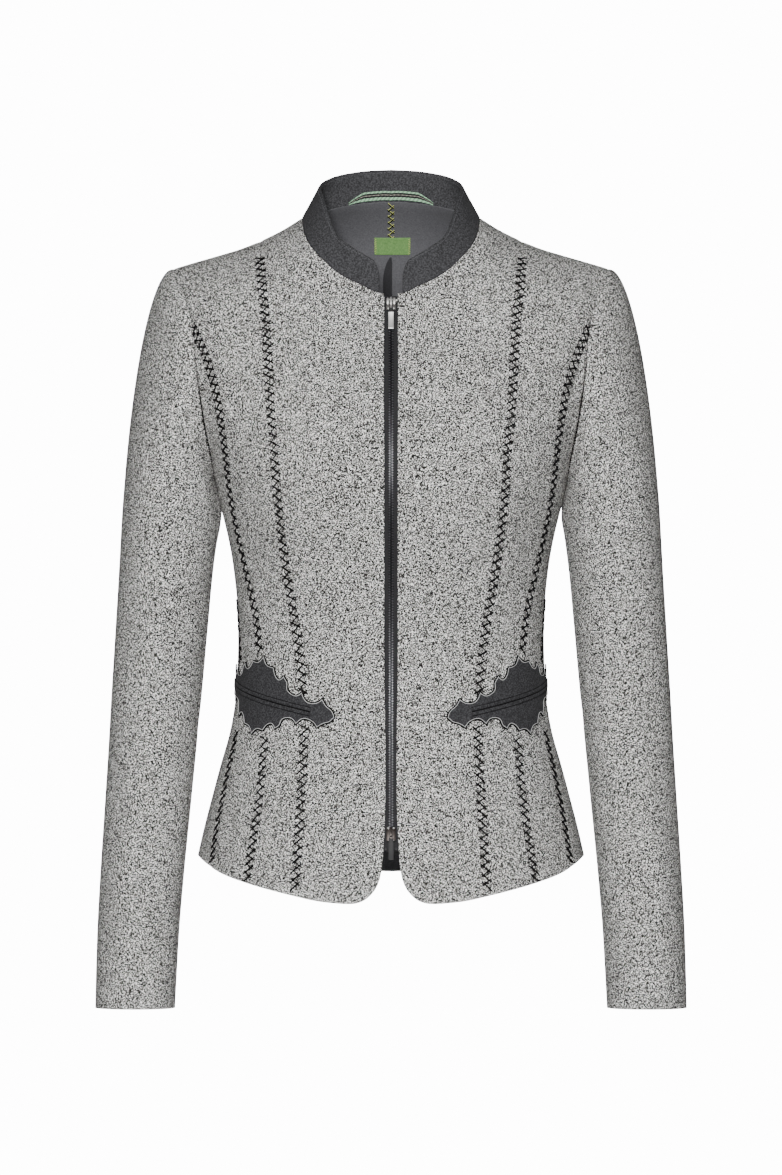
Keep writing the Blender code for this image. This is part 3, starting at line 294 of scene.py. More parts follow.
FRONT_EDGE_LINE = ((-65.8, FRONT_EDGE), (-200, FRONT_EDGE), (-360, FRONT_EDGE), (-520, FRONT_EDGE),
                   (-534, 6.5), (-552, 8.2), (-560.5, 10.4), (-566, 13.2))
FRONT_CORNER = ((-566, 13.2), (-570.8, 17.3), (-575, 22.6), (-577.6, 30), (-578, 37))
hem_height = smooth(column(HEM, 0), column(HEM, 1))
print("points on the front princess seam:", len(FRONT_PRINCESS))

# %% [markdown]
# Two pieces can only be sewn together if their edges have the same number of equal steps. So each
# seam is first drawn with many points and then cut into as many steps as its panel has cells.

# %% Drawing a seam and cutting it into equal steps
LINE_POINTS = 240


def smooth_line(marks):
    """A smooth line on the body through a few marks, with many points."""
    way = running_length(body(marks[:, 0], marks[:, 1]))
    fine = np.linspace(0, way[-1], LINE_POINTS)
    return np.stack([smooth(way, marks[:, 0])(fine), smooth(way, marks[:, 1])(fine)], axis=-1)


def seam_line(rows, back=False):
    return smooth_line(np.array([locate(z, x, back) for z, x in rows]))


def spaced(line, cells):
    """The line again, cut into equal steps of cloth."""
    way = running_length(body(line[:, 0], line[:, 1]))
    marks = np.linspace(0, way[-1], cells + 1)
    return np.stack([np.interp(marks, way, line[:, 0]), np.interp(marks, way, line[:, 1])], axis=-1)


def joined(*lines):
    return np.concatenate([lines[0]] + [line[1:] for line in lines[1:]])


def hem_line(start, stop, cells):
    """A stretch of the hem, from one "around" to another."""
    around = np.linspace(start, stop, LINE_POINTS)
    return spaced(locate_around(hem_height(around), around), cells)


def shoulder_line(start, stop, cells, back=False):
    """A stretch of the shoulder seam between two distances from the centre."""
    x = np.linspace(start, stop, LINE_POINTS)
    line = np.array([locate(crest(v), v, back) for v in x])
    line[:, 1] = 0.0
    return spaced(line, cells)


def to_hem(line):
    """The line with its lowest point set exactly on the hem."""
    line = line.copy()
    line[0] = locate_around(hem_height(line[0][0]), np.array(line[0][0]))
    return line


print("points to draw a seam with:", LINE_POINTS)


# %% [markdown]
# The tables run from the top down and the panels are laid from the hem up, so the seams are turned
# round here. Only the half at +X is drawn. The other one is its mirror image.

# %% The seams of one half
FRONT_PRINCESS_LINE = to_hem(seam_line(FRONT_PRINCESS[::-1]))
BACK_PRINCESS_LINE = to_hem(seam_line(BACK_PRINCESS[::-1], back=True))
FRONT_PRINCESS_LINE[-1, 1] = BACK_PRINCESS_LINE[-1, 1] = 0.0

underarm = locate_around(UNDERARM[1], np.array(UNDERARM[0]))
armhole_front = smooth_line(np.array([locate(z, x) for z, x in FRONT_ARMHOLE] + [underarm]))
armhole_back = smooth_line(np.array([locate(z, x, True) for z, x in BACK_ARMHOLE] + [underarm]))
armhole_front[0, 1] = armhole_back[0, 1] = 0.0
leaves = locate(*ARMHOLE_PRINCESS[0])
split = int(np.argmin(np.linalg.norm(
    body(armhole_front[:, 0], armhole_front[:, 1]) - body(*leaves), axis=1)))

ARMHOLE_PRINCESS_LINE = to_hem(seam_line(ARMHOLE_PRINCESS[::-1]))
ARMHOLE_PRINCESS_LINE[-1] = armhole_front[split]
side_heights, side_turns = np.array(column(SIDE_SEAM, 0)), np.array(column(SIDE_SEAM, 1))
SIDE_LINE = to_hem(smooth_line(locate_around(side_heights[::-1], side_turns[::-1])))
SIDE_LINE[-1] = underarm

neck_start = seam_line([row for row in FRONT_NECKLINE if row[1] <= COLLAR_START])
neck_front = seam_line([row for row in FRONT_NECKLINE if row[1] >= COLLAR_START])
neck_back = seam_line(BACK_NECKLINE[::-1], back=True)
neck_front[-1, 1] = neck_back[0, 1] = 0.0
armhole = [running_length(body(line[:, 0], line[:, 1]))[-1] for line in (armhole_front, armhole_back)]
print("armhole, once round: %.0f mm" % sum(armhole))

# %% [markdown]
# ## Panels between the seams
#
# A panel is a grid stretched between four lines: its foot on the hem, its head on the shoulder or in
# the armhole, and a seam on each side. The cells are about 4 mm, fine enough for soft creases and
# still light to draw. The two FINE values say into how many cells each step of the pattern is cut.
# The inside of the grid is blended from its four edges, in the way that a soap film hangs in a frame.

# %% A grid between four lines
END_FADE = 3                    # how fast the bend of the hem and head dies away inside the panel


def stretched(foot, head, left, right, fade=END_FADE):
    """A grid between four lines: foot and head run left to right, left and right run foot to head."""
    u = np.linspace(0, 1, len(foot))[None, :, None]
    v = np.linspace(0, 1, len(left))[:, None, None]
    sides = left[:, None] * (1 - u) + right[:, None] * u
    foot_bend = foot[None] - foot[0] * (1 - u) - foot[-1] * u
    head_bend = head[None] - head[0] * (1 - u) - head[-1] * u
    return sides + foot_bend * (1 - v) ** fade + head_bend * v ** fade


print("a third of the way up, this is left of the hem's bend: %.2f" % (2 / 3) ** END_FADE)


# %% [markdown]
# Five panels make one half of the body: centre front, side front, side panel, side back and centre
# back. The armhole takes its steps from three of them: from the shoulder tip to the princess seam, on
# to the underarm, and back up to the tip.

# %% Five grids for one half of the body
FINE_ROWS, FINE_COLUMNS = 8, 5
FINE_PANEL = 2                  # the narrow side panel has this many cells to a step of the armhole
NECK_STEPS, FRONT_STEPS, CORNER_STEPS = 7, 6, 3
SHOULDER_STEPS_BACK, SHOULDER_STEPS, NECK_STEPS_BACK = 2, 5, 5
ARMHOLE_STEPS = (4, 8, 10)      # tip to princess seam, on to the underarm, and back up to the tip
SIDE_STEPS = 17


def panel_grids():
    """The grids of one half, by the names of their panels, in body coordinates."""
    r, c = FINE_ROWS, FINE_COLUMNS
    front_rows = SIDE_STEPS + ARMHOLE_STEPS[0]
    back_rows = SIDE_STEPS + ARMHOLE_STEPS[2]
    upper = spaced(armhole_front[:split + 1], ARMHOLE_STEPS[0] * r)
    lower = spaced(armhole_front[split:], ARMHOLE_STEPS[1] * FINE_PANEL)
    behind = spaced(armhole_back[::-1], ARMHOLE_STEPS[2] * r)
    hems = [line[0][0] for line in (FRONT_PRINCESS_LINE, ARMHOLE_PRINCESS_LINE, SIDE_LINE,
                                    BACK_PRINCESS_LINE)]
    front_edge = spaced(seam_line(FRONT_EDGE_LINE[::-1]), (front_rows - NECK_STEPS - 1) * r)
    princess = spaced(FRONT_PRINCESS_LINE, front_rows * r)
    arm_seam = spaced(ARMHOLE_PRINCESS_LINE, SIDE_STEPS * r)
    side = spaced(SIDE_LINE, SIDE_STEPS * r)
    princess_back = spaced(BACK_PRINCESS_LINE, back_rows * r)
    foot = joined(spaced(seam_line(FRONT_CORNER), CORNER_STEPS * c),
                  hem_line(HEM[0][0], hems[0], (FRONT_STEPS - CORNER_STEPS) * c))
    head = joined(shoulder_line(PRINCESS_TOP, NECK_SIDE, SHOULDER_STEPS_BACK * c, back=True),
                  spaced(neck_back, NECK_STEPS_BACK * c))
    heights = np.linspace(hem_height(2.0), BACK_NECKLINE[0][0], LINE_POINTS)
    centre = np.array([locate_around(z, np.array(2.0)) for z in heights])
    return {
        "centre_front": stretched(
            foot, shoulder_line(NECK_SIDE, PRINCESS_TOP, FRONT_STEPS * c),
            joined(front_edge, spaced(neck_start, r), spaced(neck_front, NECK_STEPS * r)), princess),
        "side_front": stretched(
            hem_line(hems[0], hems[1], SHOULDER_STEPS * c),
            shoulder_line(PRINCESS_TOP, SHOULDER_TIP, SHOULDER_STEPS * c),
            princess, joined(arm_seam, upper[::-1])),
        "side_panel": stretched(
            hem_line(hems[1], hems[2], ARMHOLE_STEPS[1] * FINE_PANEL), lower, arm_seam, side,
            fade=2 * END_FADE),
        "side_back": stretched(
            hem_line(hems[2], hems[3], SHOULDER_STEPS * c),
            shoulder_line(SHOULDER_TIP, PRINCESS_TOP, SHOULDER_STEPS * c, back=True),
            joined(side, behind), princess_back),
        "centre_back": stretched(
            hem_line(hems[3], 2.0, len(head) - 1), head, princess_back, spaced(centre, back_rows * r)),
    }


grids = panel_grids()
for name, grid in grids.items():
    print(name, "has", grid.shape[0] - 1, "rows and", grid.shape[1] - 1, "columns of cells")

# %% [markdown]
# ## Soft creases and seam hollows
#
# Tailored loden is firm and lies nearly smooth, so its creases are few and shallow. Each row below is
# one trough (negative) or ridge (positive) with its two ends, width and depth. The cloth is pushed
# along its own normal by a soft bell curve. A cloth simulation would also crease it, but it would
# put the folds wherever it liked, and a firm wool coat hardly shows them.

# %% Tables of the creases
FRONT_CREASES = (
    # x and height of one end, x and height of the other, width, depth
    (-176, -52, -168, -96, 9, -1.6), (-161, -100, -149, -228, 9, -2.3),
    (176, -52, 168, -96, 9, -1.5), (161, -96, 150, -224, 9, -2.3),
    (-118, -250, -112, -330, 13, -1.4), (119, -245, 111, -322, 12, -1.3),
    (-128, -388, -98, -352, 8, -0.9), (127, -392, 100, -350, 8, -0.8),
    (-40, -332, -74, -356, 12, -0.6), (44, -340, 70, -352, 11, -0.5),
    (-60, -150, -96, -188, 16, 0.7), (62, -142, 98, -178, 15, 0.6),
    (-30, -420, -36, -540, 16, 0.7), (34, -430, 44, -536, 16, 0.6),
    (-92, -470, -98, -548, 12, 0.8), (94, -462, 98, -545, 12, 0.7),
    (-128, -470, -140, -538, 10, 0.9), (127, -462, 139, -536, 10, 0.8),
)
BACK_CREASES = (
    (-168, -64, -158, -150, 10, -1.6), (168, -62, 159, -156, 10, -1.7),
    (-120, -330, -60, -352, 11, -1.3), (118, -338, 56, -348, 10, -1.2),
    (-105, -372, -30, -362, 12, -0.9), (98, -380, 26, -366, 12, -1.0),
    (-66, -60, -92, -150, 18, 0.9), (70, -66, 96, -142, 18, 0.8),
    (-70, -440, -84, -545, 16, 1.0), (74, -446, 88, -542, 16, 0.9),
)
print("creases:", len(FRONT_CREASES), "in front and", len(BACK_CREASES), "behind")

# %% [markdown]
# A crease is deepest in its middle and runs out softly at both ends, and across it the cloth follows
# a bell curve. `crease` needs a flat map of the cloth. For the body that is simply the view from the
# front or the back, in which each row of the tables was placed.

# %% Pressing creases into the cloth
CREASE_END, CREASE_FULLNESS = 0.12, 0.7     # how much is left at the ends, and how blunt they are


def crease(flat, way, wide, deep):
    """How far the cloth is pushed at points of a flat map, for a crease from its zero along way."""
    share = np.clip((flat @ way) / (way @ way), 0, 1)
    distance = np.linalg.norm(flat - share[..., None] * way, axis=-1)
    ends = np.sin(np.pi * (CREASE_END + (1 - 2 * CREASE_END) * share)) ** CREASE_FULLNESS
    return deep * ends * np.exp(-(distance / wide) ** 2)


def creased(points, normals, table):
    """The points with the creases of a table pressed in."""
    lift = np.zeros(points.shape[:2])
    for x1, z1, x2, z2, wide, deep in table:
        flat = points[..., [0, 2]] - np.array([x1, z1], float)
        lift += crease(flat, np.array([x2 - x1, z2 - z1], float), wide, deep)
    return points + normals * lift[..., None]


print("push in the middle of a crease 2 mm deep:", crease(np.array([5.0, 0.0]), np.array([10.0, 0.0]), 4, 2))


# %% [markdown]
# Where two panels are sewn together, their edges turn in and the cloth dips a little. The same dip
# on both sides meets at the seam and draws the eye along the princess lines.

# %% Hollows along the seams
GROWTH = 0.4                            # closes the gap that the solids keep at their seams
SEAM_DIP, SEAM_DIP_WIDE = 0.55, 2.6
EDGES = {                               # axis of the grid, its last row or column and the one before
    "foot": (0, 0, 1), "head": (0, -1, -2), "left": (1, 0, 1), "right": (1, -1, -2),
}


def dipped(points, normals, edges):
    """The grid with a shallow hollow along its sewn edges."""
    out = points.copy()
    for edge in edges:
        axis, last, _ = EDGES[edge]
        rim = np.expand_dims(points.take(last, axis=axis), axis)
        distance = np.linalg.norm(points - rim, axis=-1)
        out -= normals * (SEAM_DIP * np.exp(-(distance / SEAM_DIP_WIDE) ** 2))[..., None]
    return out


def grown(points, edges, by=GROWTH):
    """The grid with its sewn edges moved outwards a little, so that neighbours meet without a gap."""
    out = points.copy()
    for edge in edges:
        axis, last, before = EDGES[edge]
        here, inner = out.take(last, axis=axis), out.take(before, axis=axis)
        index = (slice(None), last) if axis else (last, slice(None))
        out[index] = here + unit(here - inner) * by
    return out


print("seams are sunk by %.2f mm" % SEAM_DIP)


# %% [markdown]
# ## Colours and materials
#
# Colours are written as the sRGB hex values that a colour picker shows; Blender calculates with
# linear light, so one function converts them. `add` places one shader node with its settings and
# links, which keeps every material below as short as its description. Every pattern is laid out in
# the piece's own Object coordinates or in its UV, so it stays on the cloth wherever the piece goes.

# %% Helpers for materials
def srgb(code):
    """The linear colour of an sRGB hex value."""
    values = [int(code[i:i + 2], 16) / 255 for i in (1, 3, 5)]
    return tuple(v / 12.92 if v <= 0.04045 else ((v + 0.055) / 1.055) ** 2.4 for v in values) + (1.0,)


def add(tree, kind, settings=None, links=None):
    """One node; settings are its own properties or unlinked inputs, links go into its inputs."""
    made = tree.nodes.new(kind)
    for key, value in (settings or {}).items():
        if isinstance(key, str) and hasattr(made, key):
            setattr(made, key, value)
        else:
            made.inputs[key].default_value = value
    for key, socket in (links or {}).items():
        tree.links.new(socket, made.inputs[key])
    return made


def new_material(name, settings):
    """A material with its node tree and its main shader, whose sockets get the settings."""
    made = bpy.data.materials.new(name)
    made.use_nodes = True
    shader = made.node_tree.nodes["Principled BSDF"]
    for socket, value in settings.items():
        shader.inputs[socket].default_value = value
    return made, made.node_tree, shader


print("black is", srgb("#000000")[:3], "and white is", srgb("#ffffff")[:3])


# %% [markdown]
# ### Salt-and-pepper wool
# Loden yarn is spun from black, grey and white fibres and then felted, so that the weave almost
# disappears and a speckle of about a millimetre stays. Two noises make it: a fine one for the fibres
# and a broad one for the faint clouds that every melange shows. A colour ramp turns the sum into
# flecks: dark ones below the centre, light ones above it. The same fine noise raises the nap, and a
# faint diagonal in the cloth's own UV stands for the twill under it. Real hairs would be costly, and
# at arm's length nobody could tell them from this.

# %% Wool cloth
CLOUD_FINENESS, CLOUD_SHARE = 0.12, 0.04    # both against the flecks'
TWILL_SCALE, TWILL_SHARE = 140.0, 0.25


def melange(name, dark, middle, light, speck, centre, contrast, bump):
    """Cloth of mixed fibres; speck is the size of a fleck and bump the height of the nap, in metres."""
    made, tree, shader = new_material(name, {
        "Roughness": 0.95, "Specular IOR Level": 0.12, "Sheen Weight": 0.02, "Sheen Roughness": 0.5})
    place = add(tree, "ShaderNodeTexCoord")
    fibre = add(tree, "ShaderNodeTexNoise", {"Scale": 1.0 / speck, "Detail": 0.0},
                {"Vector": place.outputs["Object"]})
    cloud = add(tree, "ShaderNodeTexNoise",
                {"Scale": CLOUD_FINENESS / speck, "Detail": 2.0, "Roughness": 0.5},
                {"Vector": place.outputs["Object"]})
    mixed = add(tree, "ShaderNodeMath", {"operation": "MULTIPLY_ADD", 1: CLOUD_SHARE},
                {0: cloud.outputs["Fac"], 2: fibre.outputs["Fac"]})
    ramp = add(tree, "ShaderNodeValToRGB", None, {"Fac": mixed.outputs["Value"]})
    stops = ramp.color_ramp.elements
    stops[0].position, stops[0].color = centre - contrast, srgb(dark)
    stops[1].position, stops[1].color = centre + contrast, srgb(light)
    stops.new(centre).color = srgb(middle)
    twill = add(tree, "ShaderNodeTexWave",
                {"wave_type": "BANDS", "bands_direction": "DIAGONAL", "Scale": TWILL_SCALE,
                 "Distortion": 1.5, "Detail": 1.0}, {"Vector": place.outputs["UV"]})
    height = add(tree, "ShaderNodeMath", {"operation": "MULTIPLY_ADD", 1: TWILL_SHARE},
                 {0: twill.outputs["Fac"], 2: fibre.outputs["Fac"]})
    relief = add(tree, "ShaderNodeBump", {"Strength": 0.6, "Distance": bump},
                 {"Height": height.outputs["Value"]})
    tree.links.new(ramp.outputs["Color"], shader.inputs["Base Color"])
    tree.links.new(relief.outputs["Normal"], shader.inputs["Normal"])
    return made


tweed = melange("Loden wool, grey melange", "#151514", "#706f6c", "#fffefb", 0.0009, 0.55, 0.15, 0.0002)
charcoal = melange("Wool, charcoal", "#2b2b2c", "#38383a", "#464648", 0.0012, 0.52, 0.22, 0.0001)
felt = melange("Wool felt, charcoal", "#262627", "#323234", "#414143", 0.0011, 0.52, 0.2, 0.0001)
print("wool materials:", tweed.name, charcoal.name, felt.name, sep="; ")

# %% [markdown]
# ### Lining, tape and yarn
# The lining is a dull satin: smoother than wool, with fine threads that run one way. Woven tape and
# yarn are matt again and only differ in colour and in the size of their ribs. So one function makes
# them all: a wave for the ribs and a noise for the uneven threads change both colour and height.

# %% Smooth and ribbed cloths
BANDS_TO_THE_METRE = 3.1831     # what the wave texture draws at a scale of 1
RIB_SHARE = 0.45                # of the wave, against the noise
THREAD_GRAIN = 900.0


def ribbed(name, colour, other, ribs, rough, strength=0.4, direction="X", gloss=0.3):
    """A cloth with fine ribs across its UV; ribs is their number to the metre."""
    made, tree, shader = new_material(name, {
        "Roughness": rough, "Specular IOR Level": gloss, "Sheen Weight": gloss / 4,
        "Sheen Roughness": 0.45})
    place = add(tree, "ShaderNodeTexCoord")
    wave = add(tree, "ShaderNodeTexWave",
               {"wave_type": "BANDS", "bands_direction": direction,
                "Scale": ribs / BANDS_TO_THE_METRE, "Distortion": 0.6},
               {"Vector": place.outputs["UV"]})
    grain = add(tree, "ShaderNodeTexNoise", {"Scale": THREAD_GRAIN, "Detail": 2.0},
                {"Vector": place.outputs["Object"]})
    both = add(tree, "ShaderNodeMath", {"operation": "MULTIPLY_ADD", 1: RIB_SHARE},
               {0: wave.outputs["Fac"], 2: grain.outputs["Fac"]})
    shade = add(tree, "ShaderNodeMapRange", {"From Min": 0.35, "From Max": 1.05},
                {"Value": both.outputs["Value"]})
    mix = add(tree, "ShaderNodeMix", {"data_type": "RGBA", 6: srgb(colour), 7: srgb(other)},
              {0: shade.outputs["Result"]})
    relief = add(tree, "ShaderNodeBump", {"Strength": strength, "Distance": 0.0002},
                 {"Height": both.outputs["Value"]})
    tree.links.new(mix.outputs[2], shader.inputs["Base Color"])
    tree.links.new(relief.outputs["Normal"], shader.inputs["Normal"])
    return made


satin = ribbed("Lining, charcoal satin", "#3f3f42", "#5b5b5e", 2026.5, 0.6, 0.2)
tape_cloth = ribbed("Zip tape, black weave", "#121213", "#232325", 810.6, 0.8, 0.5, "Y")
black_yarn = ribbed("Yarn, black", "#020202", "#080808", 1266.6, 0.95, gloss=0.08)
cord_highlight_yarn = ribbed("Cord highlight, pale thread", "#a5a5a5", "#d6d6d4", 1266.6, 0.7)
pleat_shade_satin = ribbed("Lining, painted shade in the pleat", "#1c1c1e", "#2c2c2f", 2026.5, 0.7, 0.2)
lime_yarn = ribbed("Yarn, yellow green", "#9aa04a", "#cfd388", 1266.6, 0.8)
green_satin = ribbed("Label, green satin", "#446a37", "#739959", 2533.1, 0.6, 0.3)
print("soft materials:", len(bpy.data.materials))

# %% [markdown]
# ### Metal
# The sliders are nickel plate. The top slider's body is a darker copy of its crown's nickel, a painted
# shade under the crown. The teeth are darker, and their heads are a lighter copy of the teeth's metal,
# a painted highlight for their glints. Brushed metal isn't equally rough everywhere, so a noise that is
# stretched along the zip changes the roughness and raises fine scratches. The same function makes
# the black enamel of the small parts, which is simply less metallic; on the top tab's link its black
# is a painted shade for the dark mouth of the slider.

# %% Nickel, gunmetal and enamel
SCRATCH_GRAIN, SCRATCH_STRETCH = 2500.0, 0.12


def metal(name, colour, worn, low, high, metallic=1.0):
    """Metal of two tones; low and high are the smallest and the greatest roughness."""
    made, tree, shader = new_material(name, {"Metallic": metallic, "IOR": 1.5})
    place = add(tree, "ShaderNodeTexCoord")
    long = add(tree, "ShaderNodeMapping", {"Scale": (1.0, 1.0, SCRATCH_STRETCH)},
               {"Vector": place.outputs["Object"]})
    noise = add(tree, "ShaderNodeTexNoise", {"Scale": SCRATCH_GRAIN, "Detail": 3.0},
                {"Vector": long.outputs["Vector"]})
    rough = add(tree, "ShaderNodeMapRange", {"To Min": low, "To Max": high},
                {"Value": noise.outputs["Fac"]})
    mix = add(tree, "ShaderNodeMix", {"data_type": "RGBA", 6: srgb(colour), 7: srgb(worn)},
              {0: noise.outputs["Fac"]})
    relief = add(tree, "ShaderNodeBump", {"Strength": 0.15, "Distance": 0.00005},
                 {"Height": noise.outputs["Fac"]})
    tree.links.new(mix.outputs[2], shader.inputs["Base Color"])
    tree.links.new(rough.outputs["Result"], shader.inputs["Roughness"])
    tree.links.new(relief.outputs["Normal"], shader.inputs["Normal"])
    return made


nickel = metal("Nickel plate, worn", "#f6f5f3", "#dddbd8", 0.38, 0.6)
shaded_nickel = metal("Zip slider, nickel with painted shade", "#7d7c7a", "#4c4a48", 0.35, 0.55)
dark_metal = metal("Zip slider, gunmetal", "#45403d", "#211f1e", 0.3, 0.5)
tooth_metal = metal("Zip teeth, gunmetal", "#3c3c3f", "#1c1c1e", 0.4, 0.6)
tooth_head_glint = metal("Zip teeth, heads with painted highlight", "#828285", "#4a4a4d", 0.3, 0.45)
enamel_and_shade = metal("Enamel, black on zinc, and painted shade", "#1b1b1c", "#111112", 0.6, 0.75, metallic=0.0)
print("materials so far:", len(bpy.data.materials))

# %% [markdown]
# ## From a grid to a piece of cloth
#
# Every piece of cloth starts as a flat Blender grid, which is laid on the points worked out above.
# Its UVs are in real metres, so that all weaves have the same size on all pieces. The helpers below
# measure the piece too, as a tailor would lay it flat on the table.

# %% Laying and measuring a grid
CLOTH = 0.0016          # the wool's thickness
pieces, cut = {}, {}    # the objects, and the width, length and area that each was cut to


def as_is(points):
    return points


def mirrored(points):
    flip = points.copy()
    flip[..., 0] *= -1
    return flip[:, ::-1]


HALVES = (("left", as_is), ("right", mirrored))


def lengths(points):
    """How long each row and each column of a grid is, in metres."""
    across = np.linalg.norm(np.diff(points, axis=1), axis=-1).sum(axis=1)
    along = np.linalg.norm(np.diff(points, axis=0), axis=-1).sum(axis=0)
    return across * MM, along * MM


def area_of(points):
    a, b = points[1:, 1:] - points[:-1, :-1], points[1:, :-1] - points[:-1, 1:]
    return np.linalg.norm(np.cross(a, b), axis=-1).sum() / 2 * MM * MM


def lay_grid(bm, points):
    """Adds a flat grid and moves its corners to the points; returns its new vertices."""
    rows, columns = points.shape[0] - 1, points.shape[1] - 1
    made = bmesh.ops.create_grid(bm, x_segments=columns, y_segments=rows, size=0.5, calc_uvs=True)
    for v in made["verts"]:
        v.co = Vector(points[round((v.co.y + 0.5) * rows), round((v.co.x + 0.5) * columns)]) * MM
    return made["verts"]


def sheet_mesh(name, points, normals, materials):
    """The mesh of a sheet that faces along the normals, with its UVs in metres."""
    bm = bmesh.new()
    uv = bm.loops.layers.uv.new("UVMap")
    lay_grid(bm, points)
    across, along = lengths(points)
    for face in bm.faces:
        for loop in face.loops:
            loop[uv].uv = (loop[uv].uv.x * across.mean(), loop[uv].uv.y * along.mean())
    bmesh.ops.remove_doubles(bm, verts=bm.verts, dist=1e-6)
    bmesh.ops.recalc_face_normals(bm, faces=bm.faces)
    bm.faces.ensure_lookup_table()
    probe = bm.faces[len(bm.faces) // 2]
    nearest = np.argmin(np.linalg.norm(points * MM - np.array(probe.calc_center_median()), axis=-1))
    if probe.normal.dot(Vector(normals.reshape(-1, 3)[nearest])) < 0:
        bmesh.ops.reverse_faces(bm, faces=bm.faces)
    mesh = bpy.data.meshes.new(name)
    bm.to_mesh(mesh)
    bm.free()
    mesh.shade_smooth()
    for material in materials:
        mesh.materials.append(material)
    return mesh


print("a wool wall is %.1f mm thick" % (CLOTH / MM))

# %% [markdown]
# A sheet has no thickness, but wool has, and its cut edges show at the hem and the cuffs. A Solidify
# modifier makes the inner face, which takes the lining's material, and a small Bevel rounds the
# edges, because folded wool never ends in a knife edge. Modifiers leave the sheet itself simple, so
# it could still be changed. `cloth` then keeps the flat size of the piece in `cut`.

# %% Making one piece of cloth
EDGE_ROUND, FINE_EDGE_ROUND, COLLAR_ROUND = 0.0005, 0.0002, 0.0011
BULGE = 1.35            # a curved piece is called no wider than this many times its mean width


def thickened(piece, thick, edge_round=EDGE_ROUND):
    """Gives a sheet its two faces and soft edges; the last material goes inside."""
    wall = piece.modifiers.new("cloth thickness", "SOLIDIFY")
    wall.thickness, wall.offset = thick, 0.0
    wall.material_offset = len(piece.data.materials) - 1
    rim = piece.modifiers.new("soft edges", "BEVEL")
    rim.width, rim.segments = edge_round, 2
    rim.limit_method, rim.angle_limit = "ANGLE", math.radians(60)


def cloth(name, points, normals, materials, nodes, thick=CLOTH,
          edge_round=EDGE_ROUND):
    """A piece of cloth about a grid of points, in place of some nodes."""
    piece = bpy.data.objects.new(name, sheet_mesh(name, points, normals, materials))
    bpy.context.collection.objects.link(piece)
    thickened(piece, thick, edge_round)
    if nodes:
        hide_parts(*nodes)
    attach(piece, "jacket")
    pieces[name] = piece
    across, along = lengths(points)
    length, area = float(along.max()), float(area_of(points))
    cut[name] = (min(float(across.max()), BULGE * area / length), length, area)
    return piece


# %% [markdown]
# ## The body of the jacket
#
# Four panels are made for the left half and mirrored; the centre back is one piece over both halves.
# Each is pressed in along its sewn edges, creased from its own table and faced with satin inside. The
# front edges and the hem stay unsewn, so they keep their straight, rounded edge.

# %% Nine body panels
def both_halves(half):
    return np.concatenate([half, mirrored(half)[:, 1:]], axis=1)


SEWN = {
    "centre_front": ("right", "head"), "side_front": ("left", "right", "head"),
    "side_panel": ("left", "right", "head"), "side_back": ("left", "right", "head"),
    "centre_back": ("left",),
}
STANDS_FOR = {name: [name] for name in SEWN}
STANDS_FOR["side_back"] = ["side_back", "mid_back"]     # one piece of cloth over two solids
for name, sewn in SEWN.items():
    points, normals = surface(grids[name])
    table = BACK_CREASES if "back" in name else FRONT_CREASES
    dips = dipped(points, normals, sewn) - points
    if name == "centre_back":
        points, normals, dips = both_halves(points), both_halves(normals), both_halves(dips)
        points = grown(points + dips, ("left", "right", "head"))
        cloth("wool_centre_back", creased(points, normals, table), normals, [tweed, satin],
              ["centre_back"])
        continue
    points = grown(points + dips, sewn)
    for side, turn in HALVES:
        cloth(f"wool_{name}_{side}", creased(turn(points), turn(normals), table), turn(normals),
              [tweed, satin], [f"{node}_{side}" for node in STANDS_FOR[name]])
print("cloth in the body: %.2f square metres" % sum(size[2] for size in cut.values()))

# %% [markdown]
# ## Sleeves
#
# A tailored sleeve is two pieces, a wide one outside and a narrow one under the arm, and it is bent
# forward like a resting arm. Here it is one tube of rings: the first ring is the armhole itself, the
# next ones flow out over the shoulder and turn down, and the rest follow a table of the arm. The two
# pieces are then cut from the tube along their seams, so they fit as if they had been sewn.

# %% The table of the sleeve and its head
SLEEVE = (
    # height, centre out from the middle, half width, centre forward (-) or back, half depth
    (-262, 187.8, 40.6, 4, 55), (-300, 191.2, 39.2, 4, 53.5), (-350, 195, 38.4, 2.5, 51),
    (-400, 198.8, 37.7, -0.5, 48.5), (-450, 202.6, 36.7, -6, 46), (-500, 206.5, 35.8, -14, 43.5),
    (-550, 210.4, 34.9, -24, 41.5), (-600, 213.7, 34.1, -34, 39.5), (-640, 215.3, 33.5, -41.5, 38.3),
    (-668.5, 216.2, 33.0, -46.5, 37.6),
)
CAP_RINGS, CAP_FLARE, CAP_PULL, CAP_EASE, CAP_STEP = 48, 60.0, 1.5, 0.6, 10.0
CAP_TOP, CAP_SIDE, CAP_UNDER = (1.0, 0.0, -0.17), (0.62, 0.5, -0.6), (0.6, 0.0, -1.0)  # ways out
SLEEVE_TOP, SLEEVE_FOOT, SLEEVE_CELL = -262, -668.5, 3.8
FOREARM_SEAM, HINDARM_SEAM = 11, 16     # steps of the armhole at which the two seams start
SLEEVE_FINE = 4                         # cells to a step


def sleeve_ring(height, angle):
    """A ring of the sleeve; the angle is 0 outside and a quarter turn in front."""
    out, half, forward, deep = (smooth(column(SLEEVE, 0)[::-1], column(SLEEVE, i)[::-1])(height)
                                for i in (1, 2, 3, 4))
    return np.stack([out + half * np.cos(angle), forward - deep * np.sin(angle),
                     np.full_like(angle, height)], axis=-1)


def tube_normals(tube):
    """The ways out of a tube whose last column closes it."""
    around = np.roll(tube[:, :-1], -1, axis=1) - np.roll(tube[:, :-1], 1, axis=1)
    normals = unit(np.cross(around, np.gradient(tube[:, :-1], axis=0)))
    outward = np.sum(normals * (tube[:, :-1] - tube[:, :-1].mean(axis=1, keepdims=True)), axis=-1)
    normals = normals * (1 if np.sign(outward).sum() > 0 else -1)
    return np.concatenate([normals, normals[:, :1]], axis=1)


print("rows in the table of the sleeve:", len(SLEEVE))

